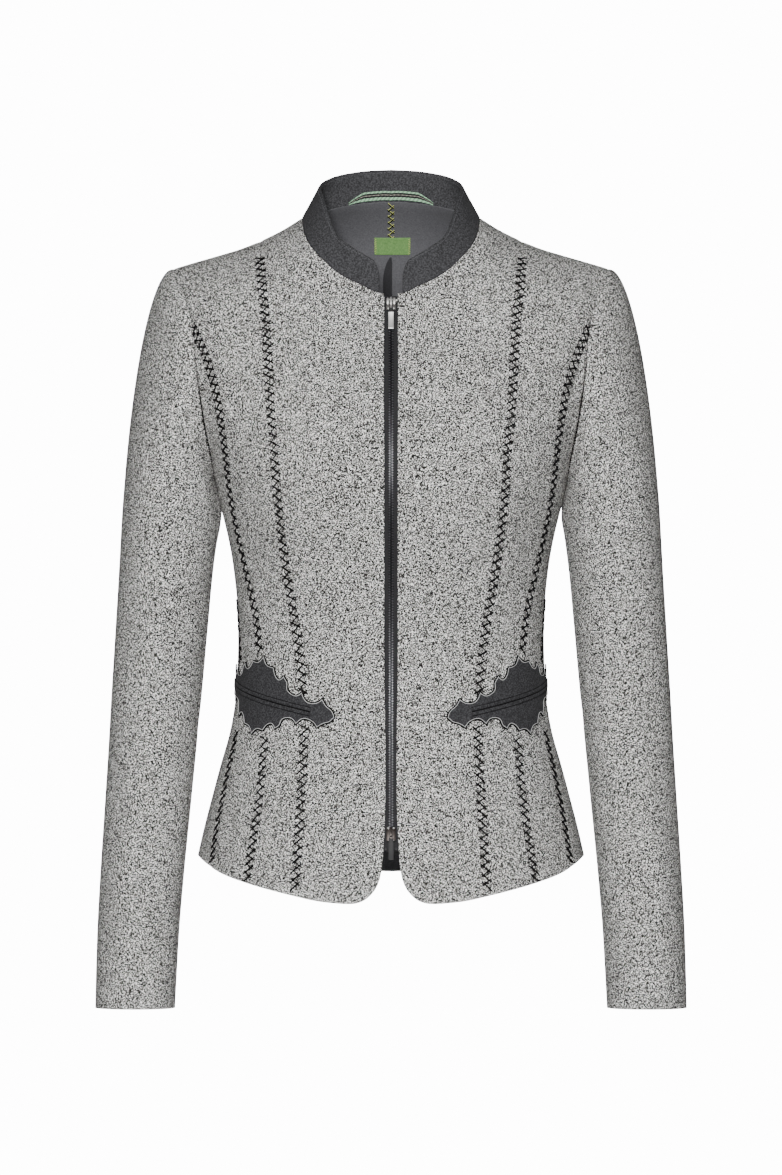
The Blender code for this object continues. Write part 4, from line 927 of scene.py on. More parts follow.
# %% [markdown]
# The sleeve's head is what gives a tailored shoulder its round, slightly roped look. Every ring
# between the armhole and the upper arm is a blend of both, with the cloth first going outwards and
# then settling into the line of the arm. The flare is strongest at the shoulder tip and dies away
# towards the underarm, where a real sleeve is cut low and close.

# %% The tube from the armhole to the cuff
def sleeve_tube():
    """The sleeve's points and normals, ring by ring, and the angle of each column."""
    s = SLEEVE_FINE
    rim = joined(spaced(armhole_front[:split + 1], ARMHOLE_STEPS[0] * s),
                 spaced(armhole_front[split:], ARMHOLE_STEPS[1] * s),
                 spaced(armhole_back[::-1], ARMHOLE_STEPS[2] * s))
    ring, _ = surface(rim)
    front = (ARMHOLE_STEPS[0] + ARMHOLE_STEPS[1]) * s
    angle = np.concatenate([np.linspace(0, math.pi, front + 1),
                            np.linspace(math.pi, 2 * math.pi, ARMHOLE_STEPS[2] * s + 1)[1:]])
    top = np.maximum(np.cos(angle), 0)[:, None] ** 2
    under = np.maximum(-np.cos(angle), 0)[:, None] ** 2
    forward = np.sign(np.sin(angle))[:, None] * np.array([0.0, -1.0, 0.0])
    side_way = np.array(CAP_SIDE) * [1, 0, 1] + CAP_SIDE[1] * forward
    leave = unit(top * np.array(CAP_TOP) + np.sin(angle)[:, None] ** 2 * side_way
                 + under * np.array(CAP_UNDER))
    end = sleeve_ring(SLEEVE_TOP, angle)
    drop = (ring[:, 2] - end[:, 2])[:, None]
    leave = leave * CAP_FLARE * (drop / drop.max()) ** CAP_EASE
    arrive = unit(sleeve_ring(SLEEVE_TOP - CAP_STEP, angle) - end) * CAP_PULL * drop
    rings = [(1 + 2 * t) * (1 - t) ** 2 * ring + t * (1 - t) ** 2 * leave
             + t * t * (3 - 2 * t) * end + t * t * (t - 1) * arrive
             for t in np.linspace(0, 1, CAP_RINGS + 1)]
    count = round((SLEEVE_TOP - SLEEVE_FOOT) / SLEEVE_CELL)
    rings += [sleeve_ring(z, angle) for z in np.linspace(SLEEVE_TOP, SLEEVE_FOOT, count + 1)[1:]]
    tube = np.array(rings)
    tube[:, -1] = tube[:, 0]
    return tube, tube_normals(tube), angle


tube, tube_ways, tube_angle = sleeve_tube()
print("rings of the sleeve:", len(tube), "and its cuff is %.0f mm round" % running_length(tube[-1])[-1])

# %% [markdown]
# A sleeve creases at the bend of the arm and hangs in soft columns elsewhere. Its creases are given
# by the way round the arm, so they can run across it. The flat map for `crease` is the sleeve's
# surface unrolled: the turn is multiplied by the arm's radius to give millimetres.

# %% Creases of the sleeves
SLEEVE_CREASES = (
    # turn (degrees: 0 outside, 90 front, 180 inside, 270 back) and height of both ends, width, depth
    (150, -300, 95, -352, 10, -1.3), (165, -352, 110, -398, 9, -1.0),
    (175, -420, 80, -396, 10, -1.1), (160, -470, 105, -444, 9, -0.8),
    (60, -180, 40, -330, 14, 1.0), (20, -240, 28, -420, 14, 0.8), (75, -470, 62, -620, 13, 0.9),
    (115, -500, 108, -640, 12, -0.8), (30, -500, 25, -630, 13, -0.7),
    (300, -250, 320, -400, 14, 1.0), (250, -380, 215, -430, 10, -1.2), (262, -430, 210, -455, 9, -1.0),
    (285, -480, 300, -640, 14, 0.9), (225, -500, 232, -620, 12, -0.8),
    (97, -150, 122, -232, 9, -1.7), (262, -140, 236, -230, 9, -1.7),
    (180, -214, 180, -248, 14, 2.7),
)
ARM_RADIUS = 44.0
UNEVEN = {"left": 0.0, "right": 9.0}      # the right sleeve's creases sit a little lower


def sleeve_creased(points, normals, angles, lower):
    """The points of a sleeve with its creases pressed in, all of them some millimetres lower."""
    turn = np.degrees(angles)[None, :] * np.ones(points.shape[:2])
    scale = math.radians(1) * ARM_RADIUS
    lift = np.zeros(points.shape[:2])
    for turn1, z1, turn2, z2, wide, deep in SLEEVE_CREASES:
        flat = np.stack([(turn - turn1) * scale, points[..., 2] - z1 + lower], axis=-1)
        lift += crease(flat, np.array([(turn2 - turn1) * scale, z2 - z1]), wide, deep)
    return points + normals * lift[..., None]


print("creases of each sleeve:", len(SLEEVE_CREASES))

# %% [markdown]
# The tube is cut along its two seams: the wide top sleeve runs round the outside, the narrow under
# sleeve lies against the body. Both keep the tube's own columns, so the cut edges meet.

# %% Two pieces of each sleeve
last = tube.shape[1] - 1
over = list(range(HINDARM_SEAM * SLEEVE_FINE, last)) + list(range(0, FOREARM_SEAM * SLEEVE_FINE + 1))
below = list(range(FOREARM_SEAM * SLEEVE_FINE, HINDARM_SEAM * SLEEVE_FINE + 1))
for name, columns in (("top_sleeve", over), ("under_sleeve", below)):
    points, ways = tube[:, columns], tube_ways[:, columns]
    sewn = ("left", "right", "foot")
    points = grown(dipped(points, ways, sewn), sewn)
    for side, turn in HALVES:
        shaped = sleeve_creased(points, ways, tube_angle[columns], UNEVEN[side])
        cloth(f"wool_{name}_{side}", turn(shaped), turn(ways),
              [tweed, satin], [f"{name}_{side}"])
print("columns of the top and the under sleeve:", len(over), len(below))

# %% [markdown]
# ## The stand collar
#
# The collar is charcoal wool, doubled and turned, so it is nearly twice as thick as the body and its
# upper edge is round. It starts at the zip, leans forward round the neck and rises at the back. The front
# corners are softly rounded off. The lower edge is the neck seam of the body, and the upper edge is a
# short table; the rows between them are blended.

# %% The collar's upper edge
COLLAR_TOP = (
    # share of the way from the front end to the centre back, then x, y and height of the upper edge
    (0.0, 14.6, -66.5, -37.0), (0.045, 22.5, -65.0, -32.3), (0.14, 34.4, -60.5, -24.9),
    (0.28, 46.3, -50.0, -14.0), (0.40, 53.6, -34.5, 5.0), (0.51, 58.0, -16.0, 19.5),
    (0.60, 60.4, 3.0, 27.0), (0.70, 57.0, 21.0, 33.0), (0.80, 45.5, 36.0, 38.4),
    (0.90, 24.0, 45.6, 42.4), (1.0, 0.0, 48.6, 43.8),
)
COLLAR_ROWS = 16
COLLAR_CORNER, CORNER_REACH = 0.03, 0.12    # how much the corner is rounded, and how far along
COLLAR_WALL, COLLAR_GAP = 2.7, 0.1          # its thickness, and its distance from the wool


print("height of the collar behind: %.0f mm" % (COLLAR_TOP[-1][3] - BACK_NECKLINE[0][0]))

# %% [markdown]
# The collar stands at an angle to the body, and both are thick. `turned_edge` moves the collar's foot
# so that the two walls meet face to face, as they do when a seam is pressed open. Only the outer one
# of the collar's two layers meets the wool, so the middle of both lies a quarter wall further in.

# %% The collar
def turned_edge(edge, normal, thick, next_normal, next_thick, away):
    """Where the next wall starts if it meets this wall's edge at an angle, face to face."""
    cosine = np.clip(np.sum(normal * next_normal, axis=-1, keepdims=True), -1, 1)
    half_turn = np.arccos(cosine) / 2
    fold = np.where(np.sum(next_normal * away, axis=-1, keepdims=True) < 0, 1.0, -1.0)
    part = away * np.cos(half_turn) + fold * normal * np.sin(half_turn)
    return edge + fold * (normal * thick - next_normal * next_thick) / 2 + COLLAR_GAP * part


def collar_grid():
    """Points and normals of the collar, from the neck seam to the upper edge."""
    neckline = joined(spaced(neck_front, NECK_STEPS * FINE_ROWS),
                      spaced(neck_back, NECK_STEPS_BACK * FINE_ROWS))
    seam, seam_normal = surface(neckline)
    steps = np.linalg.norm(np.diff(seam, axis=0), axis=1)
    share = np.concatenate([[0], np.cumsum(steps)]) / steps.sum()
    top = [smooth(column(COLLAR_TOP, 0), column(COLLAR_TOP, i)) for i in (1, 2, 3)]
    levels = np.linspace(0, 1, COLLAR_ROWS + 1)
    rows = []
    for level in levels:
        rounded = share - COLLAR_CORNER * (1 - level ** 4) * np.maximum(0, 1 - share / CORNER_REACH)
        upper = np.stack([top[i](rounded) for i in range(3)], axis=-1)
        rows.append(seam + (upper - seam) * level)
    grid = both_halves(np.array(rows))
    normals = unit(np.cross(np.gradient(grid, axis=1), np.gradient(grid, axis=0)))
    normals = normals * (-1 if normals[0, 0, 1] > 0 else 1)
    seam, seam_normal = both_halves(seam[None])[0], both_halves(seam_normal[None])[0]
    away = unit(np.cross(np.gradient(seam, axis=0), seam_normal))
    away = away * np.sign(np.sum(away * (seam.mean(axis=0) - seam), axis=-1, keepdims=True))
    foot = turned_edge(seam, seam_normal, CLOTH / MM, normals[0], COLLAR_WALL / 2, away)
    grid = grid + (foot - grid[0])[None] * (1 - levels)[:, None, None]
    return grid - normals * (COLLAR_WALL / 4), normals


collar, collar_ways = collar_grid()
cloth("stand_collar", collar, collar_ways, [charcoal, charcoal], ["collar_outer", "collar_inner"],
      thick=COLLAR_WALL * MM, edge_round=COLLAR_ROUND)
print("length of the collar's foot: %.0f mm" % running_length(collar[0])[-1])

# %% [markdown]
# ## The back lining
#
# Inside the back hangs a satin lining, a little wider than the wool, with the extra width laid in a
# pleat down the middle so that the seams don't strain. It opens below the label, where it shows as a
# dark wedge between two soft lips. The lining is the centre back's own grid, moved inwards, with its
# hem drawn up a little and its upper edge carried on under the collar.

# %% Lining with its pleat
LINING, LINING_GAP, LINING_TURN_UP = 0.8, 0.75, 6.8     # thickness, clearance, length under the collar
LINING_HEM_UP = 0.9     # the hem is drawn up by this share of the way to its third row
PLEAT_TOP, PLEAT_OPENS, PLEAT_HALF, PLEAT_LEAN = -29.0, 22.0, 3.9, -3.0
PLEAT_LIP, LIP_BESIDE, LIP_WIDE = 1.6, 4.5, 2.5


def pleat_width(height):
    """Middle and half width of the pleat's opening at a height; it widens downwards from the label."""
    opened = 1 - (1 - np.clip((PLEAT_TOP - height) / PLEAT_OPENS, 0, 1)) ** 2
    return PLEAT_LEAN * opened, PLEAT_HALF * opened ** 0.7


def pleated(points, normals):
    """Two soft lips along the sides of the opening."""
    middle, half_width = pleat_width(points[..., 2])
    beside = np.abs(points[..., 0] - middle) - half_width
    lips = PLEAT_LIP * np.exp(-((beside - LIP_BESIDE) / LIP_WIDE) ** 2) * (half_width / PLEAT_HALF)
    return points - normals * lips[..., None]


half, ways = surface(grids["centre_back"][:, 1:])
half[0] += (half[2] - half[0]) * LINING_HEM_UP
half[1] = (half[0] + half[2]) / 2
half = half[:-1] - ways[:-1] * (LINING_GAP + (CLOTH / MM + LINING) / 2)
lining, lining_ways = both_halves(half), both_halves(ways[:-1])
lining = grown(lining, ["head"], by=LINING_TURN_UP)
cloth("lining_back", pleated(lining, lining_ways), lining_ways, [satin], ["back_lining"],
      thick=LINING * MM)
print("pieces of cloth so far:", len(pieces))

# %% [markdown]
# ## Herringbone stitches
#
# The seams of the front are worked over with thick black yarn in herringbone stitch: each stroke
# crosses the one before near the edge, once on the left and once on the right. A yarn is a tube, so
# the strokes are drawn as a curve object with a round bevel, all strokes of a seam in one, and the
# curve is then turned into a mesh. Modelling each stitch as its own object would give hundreds.

# %% Threads from curves
STROKE_END = 0.85       # a stroke is thinner where it dives into the cloth


def threads(name, strokes, radius, material, thick=None, closed=False, sides=1):
    """One mesh of round threads; a stroke is a list of points in millimetres.

    thick holds each stroke's share of the radius."""
    curve = bpy.data.curves.new(name, "CURVE")
    curve.dimensions = "3D"
    curve.bevel_depth, curve.bevel_resolution = radius * MM, sides
    curve.use_fill_caps = not closed
    for stroke, share in zip(strokes, thick or [1.0] * len(strokes)):
        line = curve.splines.new("POLY")
        line.points.add(len(stroke) - 1)
        line.use_cyclic_u = closed
        for i, (p, here) in enumerate(zip(line.points, stroke)):
            p.co = (*(float(v) * MM for v in here), 1)
            p.radius = share if closed or 0 < i < len(stroke) - 1 else STROKE_END * share
    holder = bpy.data.objects.new(name + " path", curve)
    bpy.context.collection.objects.link(holder)
    ready = holder.evaluated_get(bpy.context.evaluated_depsgraph_get())
    mesh = bpy.data.meshes.new_from_object(ready)
    mesh.name = name
    bpy.data.objects.remove(holder)
    mesh.materials.clear()
    mesh.materials.append(material)
    mesh.shade_smooth()
    made = bpy.data.objects.new(name, mesh)
    bpy.context.collection.objects.link(made)
    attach(made, "jacket")
    return made


def flipped(strokes):
    """The same strokes on the other half of the jacket."""
    return [[p * [-1, 1, 1] for p in stroke] for stroke in strokes]


def between(marks, way, table):
    """A point of a table of points, by its running length or another value that grows along it."""
    return np.array([np.interp(marks, way, table[:, i]) for i in range(3)])


print("a stroke's ends have %.2f of its radius" % STROKE_END)


# %% [markdown]
# Each stitched seam starts and stops at a certain height and leaves the pocket patch free. The steps
# change a little down the seam, as hand-guided stitches do, and every stroke is a little different.
# The random numbers come from one generator with a fixed seed, so every run sews the same stitches.

# %% Where the stitches run
STITCH_HALF, STITCH_BACK, STITCH_LIFT, YARN = 4.3, 3.1, 0.5, 0.74   # half width, overlap, arch, radius
STITCH_DROP, RISING_LIFT, LIGHT_STROKE = 0.56, 1.5, 0.78            # shares of step, arch and radius
STEP_VARIES, WIDTH_VARIES = 0.035, 0.05
STITCH_STEPS = (
    # height, step
    (-20, 8.2), (-70, 7.4), (-150, 7.3), (-250, 7.9), (-420, 8.0), (-580, 7.4),
)
step_at = smooth([-h for h, _ in STITCH_STEPS], [s for _, s in STITCH_STEPS])
STITCHED = (
    # name and line of the seam, height where it starts and ends above the pocket, and below it
    ("front_princess", FRONT_PRINCESS_LINE, -34, -404, -428, -569),
    ("armhole_princess", ARMHOLE_PRINCESS_LINE, -91, -371, -438, -560),
    ("side", SIDE_LINE, -322, -377, -433, -545),
)
SEAM_POINTS, STROKE_POINTS = 900, 6
rng = np.random.default_rng(7)


def lifted_seam(line, top, foot):
    """The seam between two heights: its points, normals, sideways directions and running length."""
    fine = spaced(line[::-1], SEAM_POINTS)
    points, normals = surface(fine)
    chosen = (points[:, 2] <= top) & (points[:, 2] >= foot)
    points, normals = points[chosen], normals[chosen]
    side = unit(np.cross(normals, np.gradient(points, axis=0)))
    side *= np.sign(side[:, :1])
    return points, normals, side, running_length(points)


def herringbone(line, top, foot):
    """The falling and the rising strokes of a seam between two heights."""
    points, normals, side, way = lifted_seam(line, top, foot)

    def stroke(s1, off1, s2, off2, arch):
        shares = np.linspace(0, 1, STROKE_POINTS)
        lift = CLOTH / MM / 2 + STITCH_LIFT * arch * np.sin(np.pi * (0.1 + 0.8 * shares)) - 0.05
        marks = [s1 + (s2 - s1) * t for t in shares]
        return [between(s, way, points) + between(s, way, side) * (off1 + (off2 - off1) * t)
                + between(s, way, normals) * h for s, t, h in zip(marks, shares, lift)]

    falling, rising, s = [], [], 0.0
    while s < way[-1] - 5:
        step = float(step_at(-np.interp(s, way, points[:, 2]))) * (1 + rng.normal(0, STEP_VARIES))
        drop = STITCH_DROP * step * (1 + rng.normal(0, WIDTH_VARIES))
        wide = STITCH_HALF * (1 + rng.normal(0, WIDTH_VARIES))
        falling.append(stroke(s, wide, s + drop + STITCH_BACK / 2, -wide, 1.0))
        rising.append(stroke(s + drop - STITCH_BACK / 2, -wide, s + step + STITCH_BACK, wide, RISING_LIFT))
        s += step
    return falling, rising


print("stitched seams on each half:", len(STITCHED))

# %% [markdown]
# Above the pocket the falling strokes are the bolder ones, and below it the rising ones. The bold
# strokes have the full thickness of the yarn, the others a part of it. The right half is a mirror
# image, as a pair of fronts is cut and sewn.

# %% Yarn on both halves
stitch_count = 0
for seam_name, line, top, high, low, foot in STITCHED:
    upper, lower = herringbone(line, top, high), herringbone(line, low, foot)
    bold, light = upper[0] + lower[1], upper[1] + lower[0]
    thick = [1.0] * len(bold) + [LIGHT_STROKE] * len(light)
    for side, turn in (("left", as_is), ("right", flipped)):
        threads(f"stitches_{seam_name}_{side}", turn(bold + light), YARN, black_yarn, thick)
    stitch_count += 2 * len(thick)
print("strokes of yarn:", stitch_count)

# %% [markdown]
# A single topstitch runs just inside the collar's edge, outside and inside. It keeps the doubled wool
# from rolling. It is fine sewing thread in short stitches with small gaps where the needle went in.

# %% Topstitch of the collar
TOPSTITCH_IN, TOPSTITCH_LONG, TOPSTITCH_GAP, THREAD = 2.6, 2.3, 0.9, 0.17
TOPSTITCH_ENDS = (1.5, 3.0)     # the first and the last stitch keep this far from the ends
THREAD_LIFT = 0.03
collar_thread = ribbed("Thread, dark grey", "#4b4b4e", "#626265", 1519.9, 0.7)


def topstitch(points, normals, inward, lift):
    """Short stitches along a line of points that lies inward of an edge."""
    line = points + inward * TOPSTITCH_IN + normals * lift
    way = running_length(line)
    starts = np.arange(TOPSTITCH_ENDS[0], way[-1] - TOPSTITCH_ENDS[1], TOPSTITCH_LONG + TOPSTITCH_GAP)
    return [[between(s + share * TOPSTITCH_LONG, way, line) for share in (0, 0.5, 1)] for s in starts]


down_the_collar = unit(collar[-3] - collar[-1])
outer_line = topstitch(collar[-1], collar_ways[-1], down_the_collar, COLLAR_WALL / 2 + THREAD_LIFT)
inner_line = topstitch(collar[-1], collar_ways[-1], down_the_collar, -COLLAR_WALL / 2 - THREAD_LIFT)
threads("topstitch_collar", outer_line + inner_line, THREAD, collar_thread)
print("stitches along the collar:", len(outer_line + inner_line))

# %% [markdown]
# Down the middle of the back lining runs a short decorative chain in yellow green, from the collar
# to the label. It is the same herringbone, smaller, and a black yarn lies just below each stroke as
# its painted shadow. Everything on the lining is placed by a height and a distance from the middle.

# %% Stitched chain above the label
CHAIN_TOP_AT, LABEL_TOP = 15.5, -13.2
centre_column = lining[:, lining.shape[1] // 2]
centre_ways = lining_ways[:, lining.shape[1] // 2]
order = np.argsort(centre_column[:, 2])


def on_lining(height, x, lift):
    """A point in front of the back lining, by its height and its distance from the middle."""
    here = between(height, centre_column[order, 2], centre_column[order])
    way = between(height, centre_column[order, 2], centre_ways[order])
    return here + np.array([x, 0, 0]) - way * (LINING / 2 + lift)


def small_stroke(z1, x1, z2, x2):
    """A stroke between two places on the lining, arched a little off it."""
    return [on_lining(z1 + (z2 - z1) * t, x1 + (x2 - x1) * t, CHAIN_LIFT + CHAIN_ARCH * math.sin(math.pi * t))
            for t in np.linspace(0, 1, 5)]


CHAIN_STEP, CHAIN_HALF, CHAIN_LIFT, CHAIN_ARCH = 5.2, 2.7, 0.1, 0.35
FALL, BACK_UP, FALL_TO = 4.1, 1.9, 6.4      # where the two strokes of a step end and start below it
chain = []
for z in np.arange(CHAIN_TOP_AT, LABEL_TOP + 1, -CHAIN_STEP):
    wide = CHAIN_HALF * (1 + rng.normal(0, WIDTH_VARIES))
    chain.append(small_stroke(z, -wide, z - FALL, wide))
    chain.append(small_stroke(z - BACK_UP, wide, z - FALL_TO, -wide))
SHADE_OFFSET = np.array([0, 0.12, -0.65])
shade = [[p + SHADE_OFFSET for p in stroke] for stroke in chain]
threads("stitches_lining_painted_shadow", shade, 0.5, black_yarn)
threads("stitches_lining", chain, 0.36, lime_yarn)
print("strokes of the chain:", len(chain))

# %% [markdown]
# Where the pleat is open one sees into its fold, which lies in shade. A narrow strip of darker satin
# between the lips is that shade painted on, so the lips needn't be folded over in full.

# %% Painted shade inside the pleat
WEDGE_FOOT = -150.0
wedge_rows = np.arange(WEDGE_FOOT, PLEAT_TOP + 0.1, 1.5)
wedge = np.array([[on_lining(z, pleat_width(z)[0] + share * pleat_width(z)[1], 0.4)
                   for share in np.linspace(1, -1, 5)] for z in wedge_rows])
cloth("pleat_shade_strip", wedge, np.broadcast_to(np.array([0.0, 1.0, 0.0]), wedge.shape), [pleat_shade_satin], [],
      thick=0.0002)
print("rows of the wedge in the pleat:", len(wedge_rows))

# %% [markdown]
# ## Label and hanger loop
#
# The woven label is bare. It is a folded satin ribbon sewn down at both ends by short strokes of the
# chain's own yarn. Between its ends it stands a little off the lining, as a ribbon does.

# %% A bare label
LABEL_HALF, LABEL_TALL, LABEL_THICK, LABEL_AT = 15.3, 14.5, 0.6, 1.2
columns_x = np.linspace(LABEL_AT + LABEL_HALF, LABEL_AT - LABEL_HALF, 31)
label_rows = np.linspace(LABEL_TOP - LABEL_TALL, LABEL_TOP, 15)
LABEL_CLEAR, LABEL_ARCH = 0.3, 0.35     # its distance from the lining, and how much more in its middle


def label_lift(x):
    return LABEL_THICK / 2 + LABEL_CLEAR + LABEL_ARCH * (1 - (abs(x - LABEL_AT) / LABEL_HALF) ** 6)


label_points = np.array([[on_lining(z, x, label_lift(x)) for x in columns_x] for z in label_rows])
label_ways = np.broadcast_to(np.array([0.0, 1.0, 0.0]), label_points.shape)
cloth("woven_label", label_points, label_ways, [green_satin], ["label"], thick=LABEL_THICK * MM,
      edge_round=FINE_EDGE_ROUND)
label_stitches = [[on_lining(z, LABEL_AT + way * (LABEL_HALF - 1.6), 1.3),
                   on_lining(z + 0.4, LABEL_AT + way * (LABEL_HALF - 0.7), 1.2),
                   on_lining(z + 0.6, LABEL_AT + way * (LABEL_HALF + 0.2), 0.4)]
                  for way in (-1, 1) for z in np.arange(LABEL_TOP - LABEL_TALL + 0.8, LABEL_TOP - 0.5, 1.5)]
threads("stitches_label", label_stitches, 0.2, lime_yarn)
print("stitches of the label:", len(label_stitches))

# %% [markdown]
# The hanger loop is a striped tape whose ends go into the collar seam. Its stripes are woven in, so
# they belong in the material: the UV runs across the tape in metres, and a ramp with hard steps turns
# the share of the width into a colour. A diagonal wave adds the tape's twill ribs.

# %% Striped tape for the hanger loop
def striped_tape(name, stripes, width):
    """Woven tape; stripes are pairs of a share of the width where a stripe starts and its colour."""
    made, tree, shader = new_material(
        name, {"Roughness": 0.75, "Specular IOR Level": 0.3, "Sheen Weight": 0.1})
    place = add(tree, "ShaderNodeTexCoord")
    apart = add(tree, "ShaderNodeSeparateXYZ", None, {"Vector": place.outputs["UV"]})
    share = add(tree, "ShaderNodeMath", {"operation": "DIVIDE", 1: width}, {0: apart.outputs["Y"]})
    ramp = add(tree, "ShaderNodeValToRGB", None, {"Fac": share.outputs["Value"]})
    ramp.color_ramp.interpolation = "CONSTANT"
    stops = ramp.color_ramp.elements
    stops[0].position, stops[0].color = stripes[0][0], srgb(stripes[0][1])
    stops[1].position, stops[1].color = stripes[-1][0], srgb(stripes[-1][1])
    for start, colour in stripes[1:-1]:
        stops.new(start).color = srgb(colour)
    rib = add(tree, "ShaderNodeTexWave",
              {"wave_type": "BANDS", "bands_direction": "DIAGONAL", "Scale": 170.0, "Distortion": 0.3},
              {"Vector": place.outputs["UV"]})
    shade = add(tree, "ShaderNodeMapRange", {"To Min": 0.5}, {"Value": rib.outputs["Fac"]})
    mix = add(tree, "ShaderNodeMix", {"data_type": "RGBA", "blend_type": "MULTIPLY", 0: 1.0},
              {6: ramp.outputs["Color"], 7: shade.outputs["Result"]})
    relief = add(tree, "ShaderNodeBump", {"Strength": 0.5, "Distance": 0.0002},
                 {"Height": rib.outputs["Fac"]})
    tree.links.new(mix.outputs[2], shader.inputs["Base Color"])
    tree.links.new(relief.outputs["Normal"], shader.inputs["Normal"])
    return made


LOOP_STRIPES = (
    # share of the width where the stripe starts, and its colour
    (0.0, "#93bd9a"), (0.31, "#050705"), (0.52, "#8f8b82"), (0.6, "#050705"), (0.79, "#93bd9a"),
)
print("stripes of the tape:", len(LOOP_STRIPES))

# %% [markdown]
# The loop lies along the inside of the collar above the neck seam, bows out in the middle so that a
# hook can catch it, and is folded narrow where its two ends go into the seam.

# %% Hanger loop
LOOP_HALF, LOOP_WIDE, LOOP_THICK, LOOP_RISE, LOOP_BOW, LOOP_FOOT = 36.0, 7.8, 0.9, 1.6, 1.2, 0.6
LOOP_SLOPE, LOOP_TIP, LOOP_CLEAR = 0.35, 0.3, 0.3   # length and width of a folded end, in shares
BACK_COLUMNS = 38       # columns of the collar to either side of the middle behind
collar_height = np.linalg.norm(collar[-1] - collar[0], axis=-1)


def on_collar(x, rise, lift):
    """A point of the collar's inner face by x and by millimetres above the neck seam."""
    middle = collar.shape[1] // 2
    back = slice(middle - BACK_COLUMNS, middle + BACK_COLUMNS + 1)
    seam, top = collar[0, back], collar[-1, back]
    share = rise / collar_height[back][:, None]
    line = seam + (top - seam) * share - collar_ways[0, back] * (COLLAR_WALL / 2 + lift)
    turn = np.argsort(line[:, 0])
    return between(x, line[turn, 0], line[turn])


loop_x = np.linspace(LOOP_HALF, -LOOP_HALF, 73)
bows = 1 - np.abs(loop_x / LOOP_HALF) ** 6
from_end = 1 - np.abs(loop_x) / LOOP_HALF
wides = LOOP_WIDE * np.minimum(1.0, LOOP_TIP + (1 - LOOP_TIP) * from_end / LOOP_SLOPE)
loop_points = np.array([[on_collar(x, LOOP_FOOT + LOOP_RISE * bow + share * wide,
                                   LOOP_CLEAR + LOOP_THICK / 2 + LOOP_BOW * bow)
                         for x, bow, wide in zip(loop_x, bows, wides)] for share in np.linspace(0, 1, 9)])
loop_ways = np.broadcast_to(np.array([0.0, -1.0, 0.0]), loop_points.shape)
stripes = striped_tape("Hanger tape, green and black", LOOP_STRIPES, float(wides.mean()) * MM)
cloth("striped_loop", loop_points, loop_ways, [stripes], ["hanger_loop"], thick=LOOP_THICK * MM,
      edge_round=FINE_EDGE_ROUND)
print("width of the loop: %.1f mm on average" % wides.mean())

# %% [markdown]
# ## Pocket patches
#
# Each pocket slit sits in a patch of charcoal felt with a scrolled outline, whose edge is worked over
# with black cord; a pale thread just inside it is a painted highlight along the raised cord. The outline
# is a quarter that is mirrored twice. It is drawn as smooth arcs that meet in points: the table marks
# which corners stay sharp.

# %% The outline of the patch
POCKET_AT, POCKET_SLANT = (-111.0, -406.0), math.radians(13.0)
PATCH_LIFT, PATCH_THICK, PATCH_LOWER = 0.2, 1.1, 0.9
ARCS = (        # along the slit and away from it, each arc from point to point
    ((76, 0), (72.5, 5.5), (67, 9), (62, 14)),
    ((62, 14), (57.5, 9.5), (50, 8.5), (43.5, 15.5)),
    ((43.5, 15.5), (39, 11.5), (31.5, 13.5), (29, 20.5), (24.5, 25)),
    ((24.5, 25), (20.5, 21), (16.5, 23.5), (13, 29.5)),
    ((13, 29.5), (6, 30), (0, 36.5)),
)


def arc_points(arc, steps=5):   # steps to each stretch between two given points
    """A soft curve through the points of one arc, without its last point."""
    way = np.concatenate([[0], np.cumsum([math.dist(a, b) for a, b in zip(arc, arc[1:])])])
    x, y = (smooth(way, [p[i] for p in arc]) for i in (0, 1))
    return [(float(x(s)), float(y(s))) for s in np.linspace(0, way[-1], steps * (len(arc) - 1) + 1)[:-1]]


quarter = [point for arc in ARCS for point in arc_points(arc)] + [ARCS[-1][-1]]
upper = quarter + [(-x, y) for x, y in quarter[-2::-1]]
outline = upper + [(x, -y * PATCH_LOWER) for x, y in upper[-2:0:-1]]
print("corners of the patch's outline:", len(outline))

# %% [markdown]
# The patch is laid on the body by distances: so many millimetres along the slit, so many away from
# it. Finding such a point takes many steps, so the body's side is measured once on a net of points,
# and every later point is read between four of them.

# %% A net on the body's side
NET_CELL = 3.0
net_across, net_heights = np.arange(-87, 88, NET_CELL), np.arange(-475, -335, NET_CELL)
turns = np.linspace(0.02, 1.9, 480)     # from the front round the side


def net_row(height):
    """The body coordinates of one level, by the distance round the body from the pocket's middle."""
    marks = locate_around(height, turns)
    points = body(marks[:, 0], marks[:, 1])
    way = running_length(points)
    start = way[np.argmax((points[:, 0] >= -POCKET_AT[0]) & (turns < 1))]
    return np.stack([np.interp(start - net_across, way, turns),
                     np.interp(start - net_across, way, marks[:, 1])], axis=-1)


net_points, net_normals = surface(np.stack([net_row(height) for height in net_heights]))


def on_pocket(along, over, lift):
    """A point lifted off the wool, along the slit and away from it, in millimetres."""
    cos, sin = math.cos(POCKET_SLANT), math.sin(POCKET_SLANT)
    column = (along * cos + over * sin - net_across[0]) / NET_CELL
    row = (POCKET_AT[1] + over * cos - along * sin - net_heights[0]) / NET_CELL
    i, j = int(row), int(column)
    u, v = row - i, column - j
    weights = np.array([[(1 - u) * (1 - v), (1 - u) * v], [u * (1 - v), u * v]])[..., None]
    point = (net_points[i:i + 2, j:j + 2] * weights).sum(axis=(0, 1))
    normal = (net_normals[i:i + 2, j:j + 2] * weights).sum(axis=(0, 1))
    return point + (CLOTH / MM / 2 + PATCH_LIFT + lift) * unit(normal)


print("points of the net:", net_points.shape[:2])

# %% [markdown]
# A piece of felt is cut flat. So its outline is filled, cut into small cells so that it can bend, and
# its flat shape is kept as its UV before anything bends it.

# %% A flat shape in small cells
PATCH_CELL = 3.0


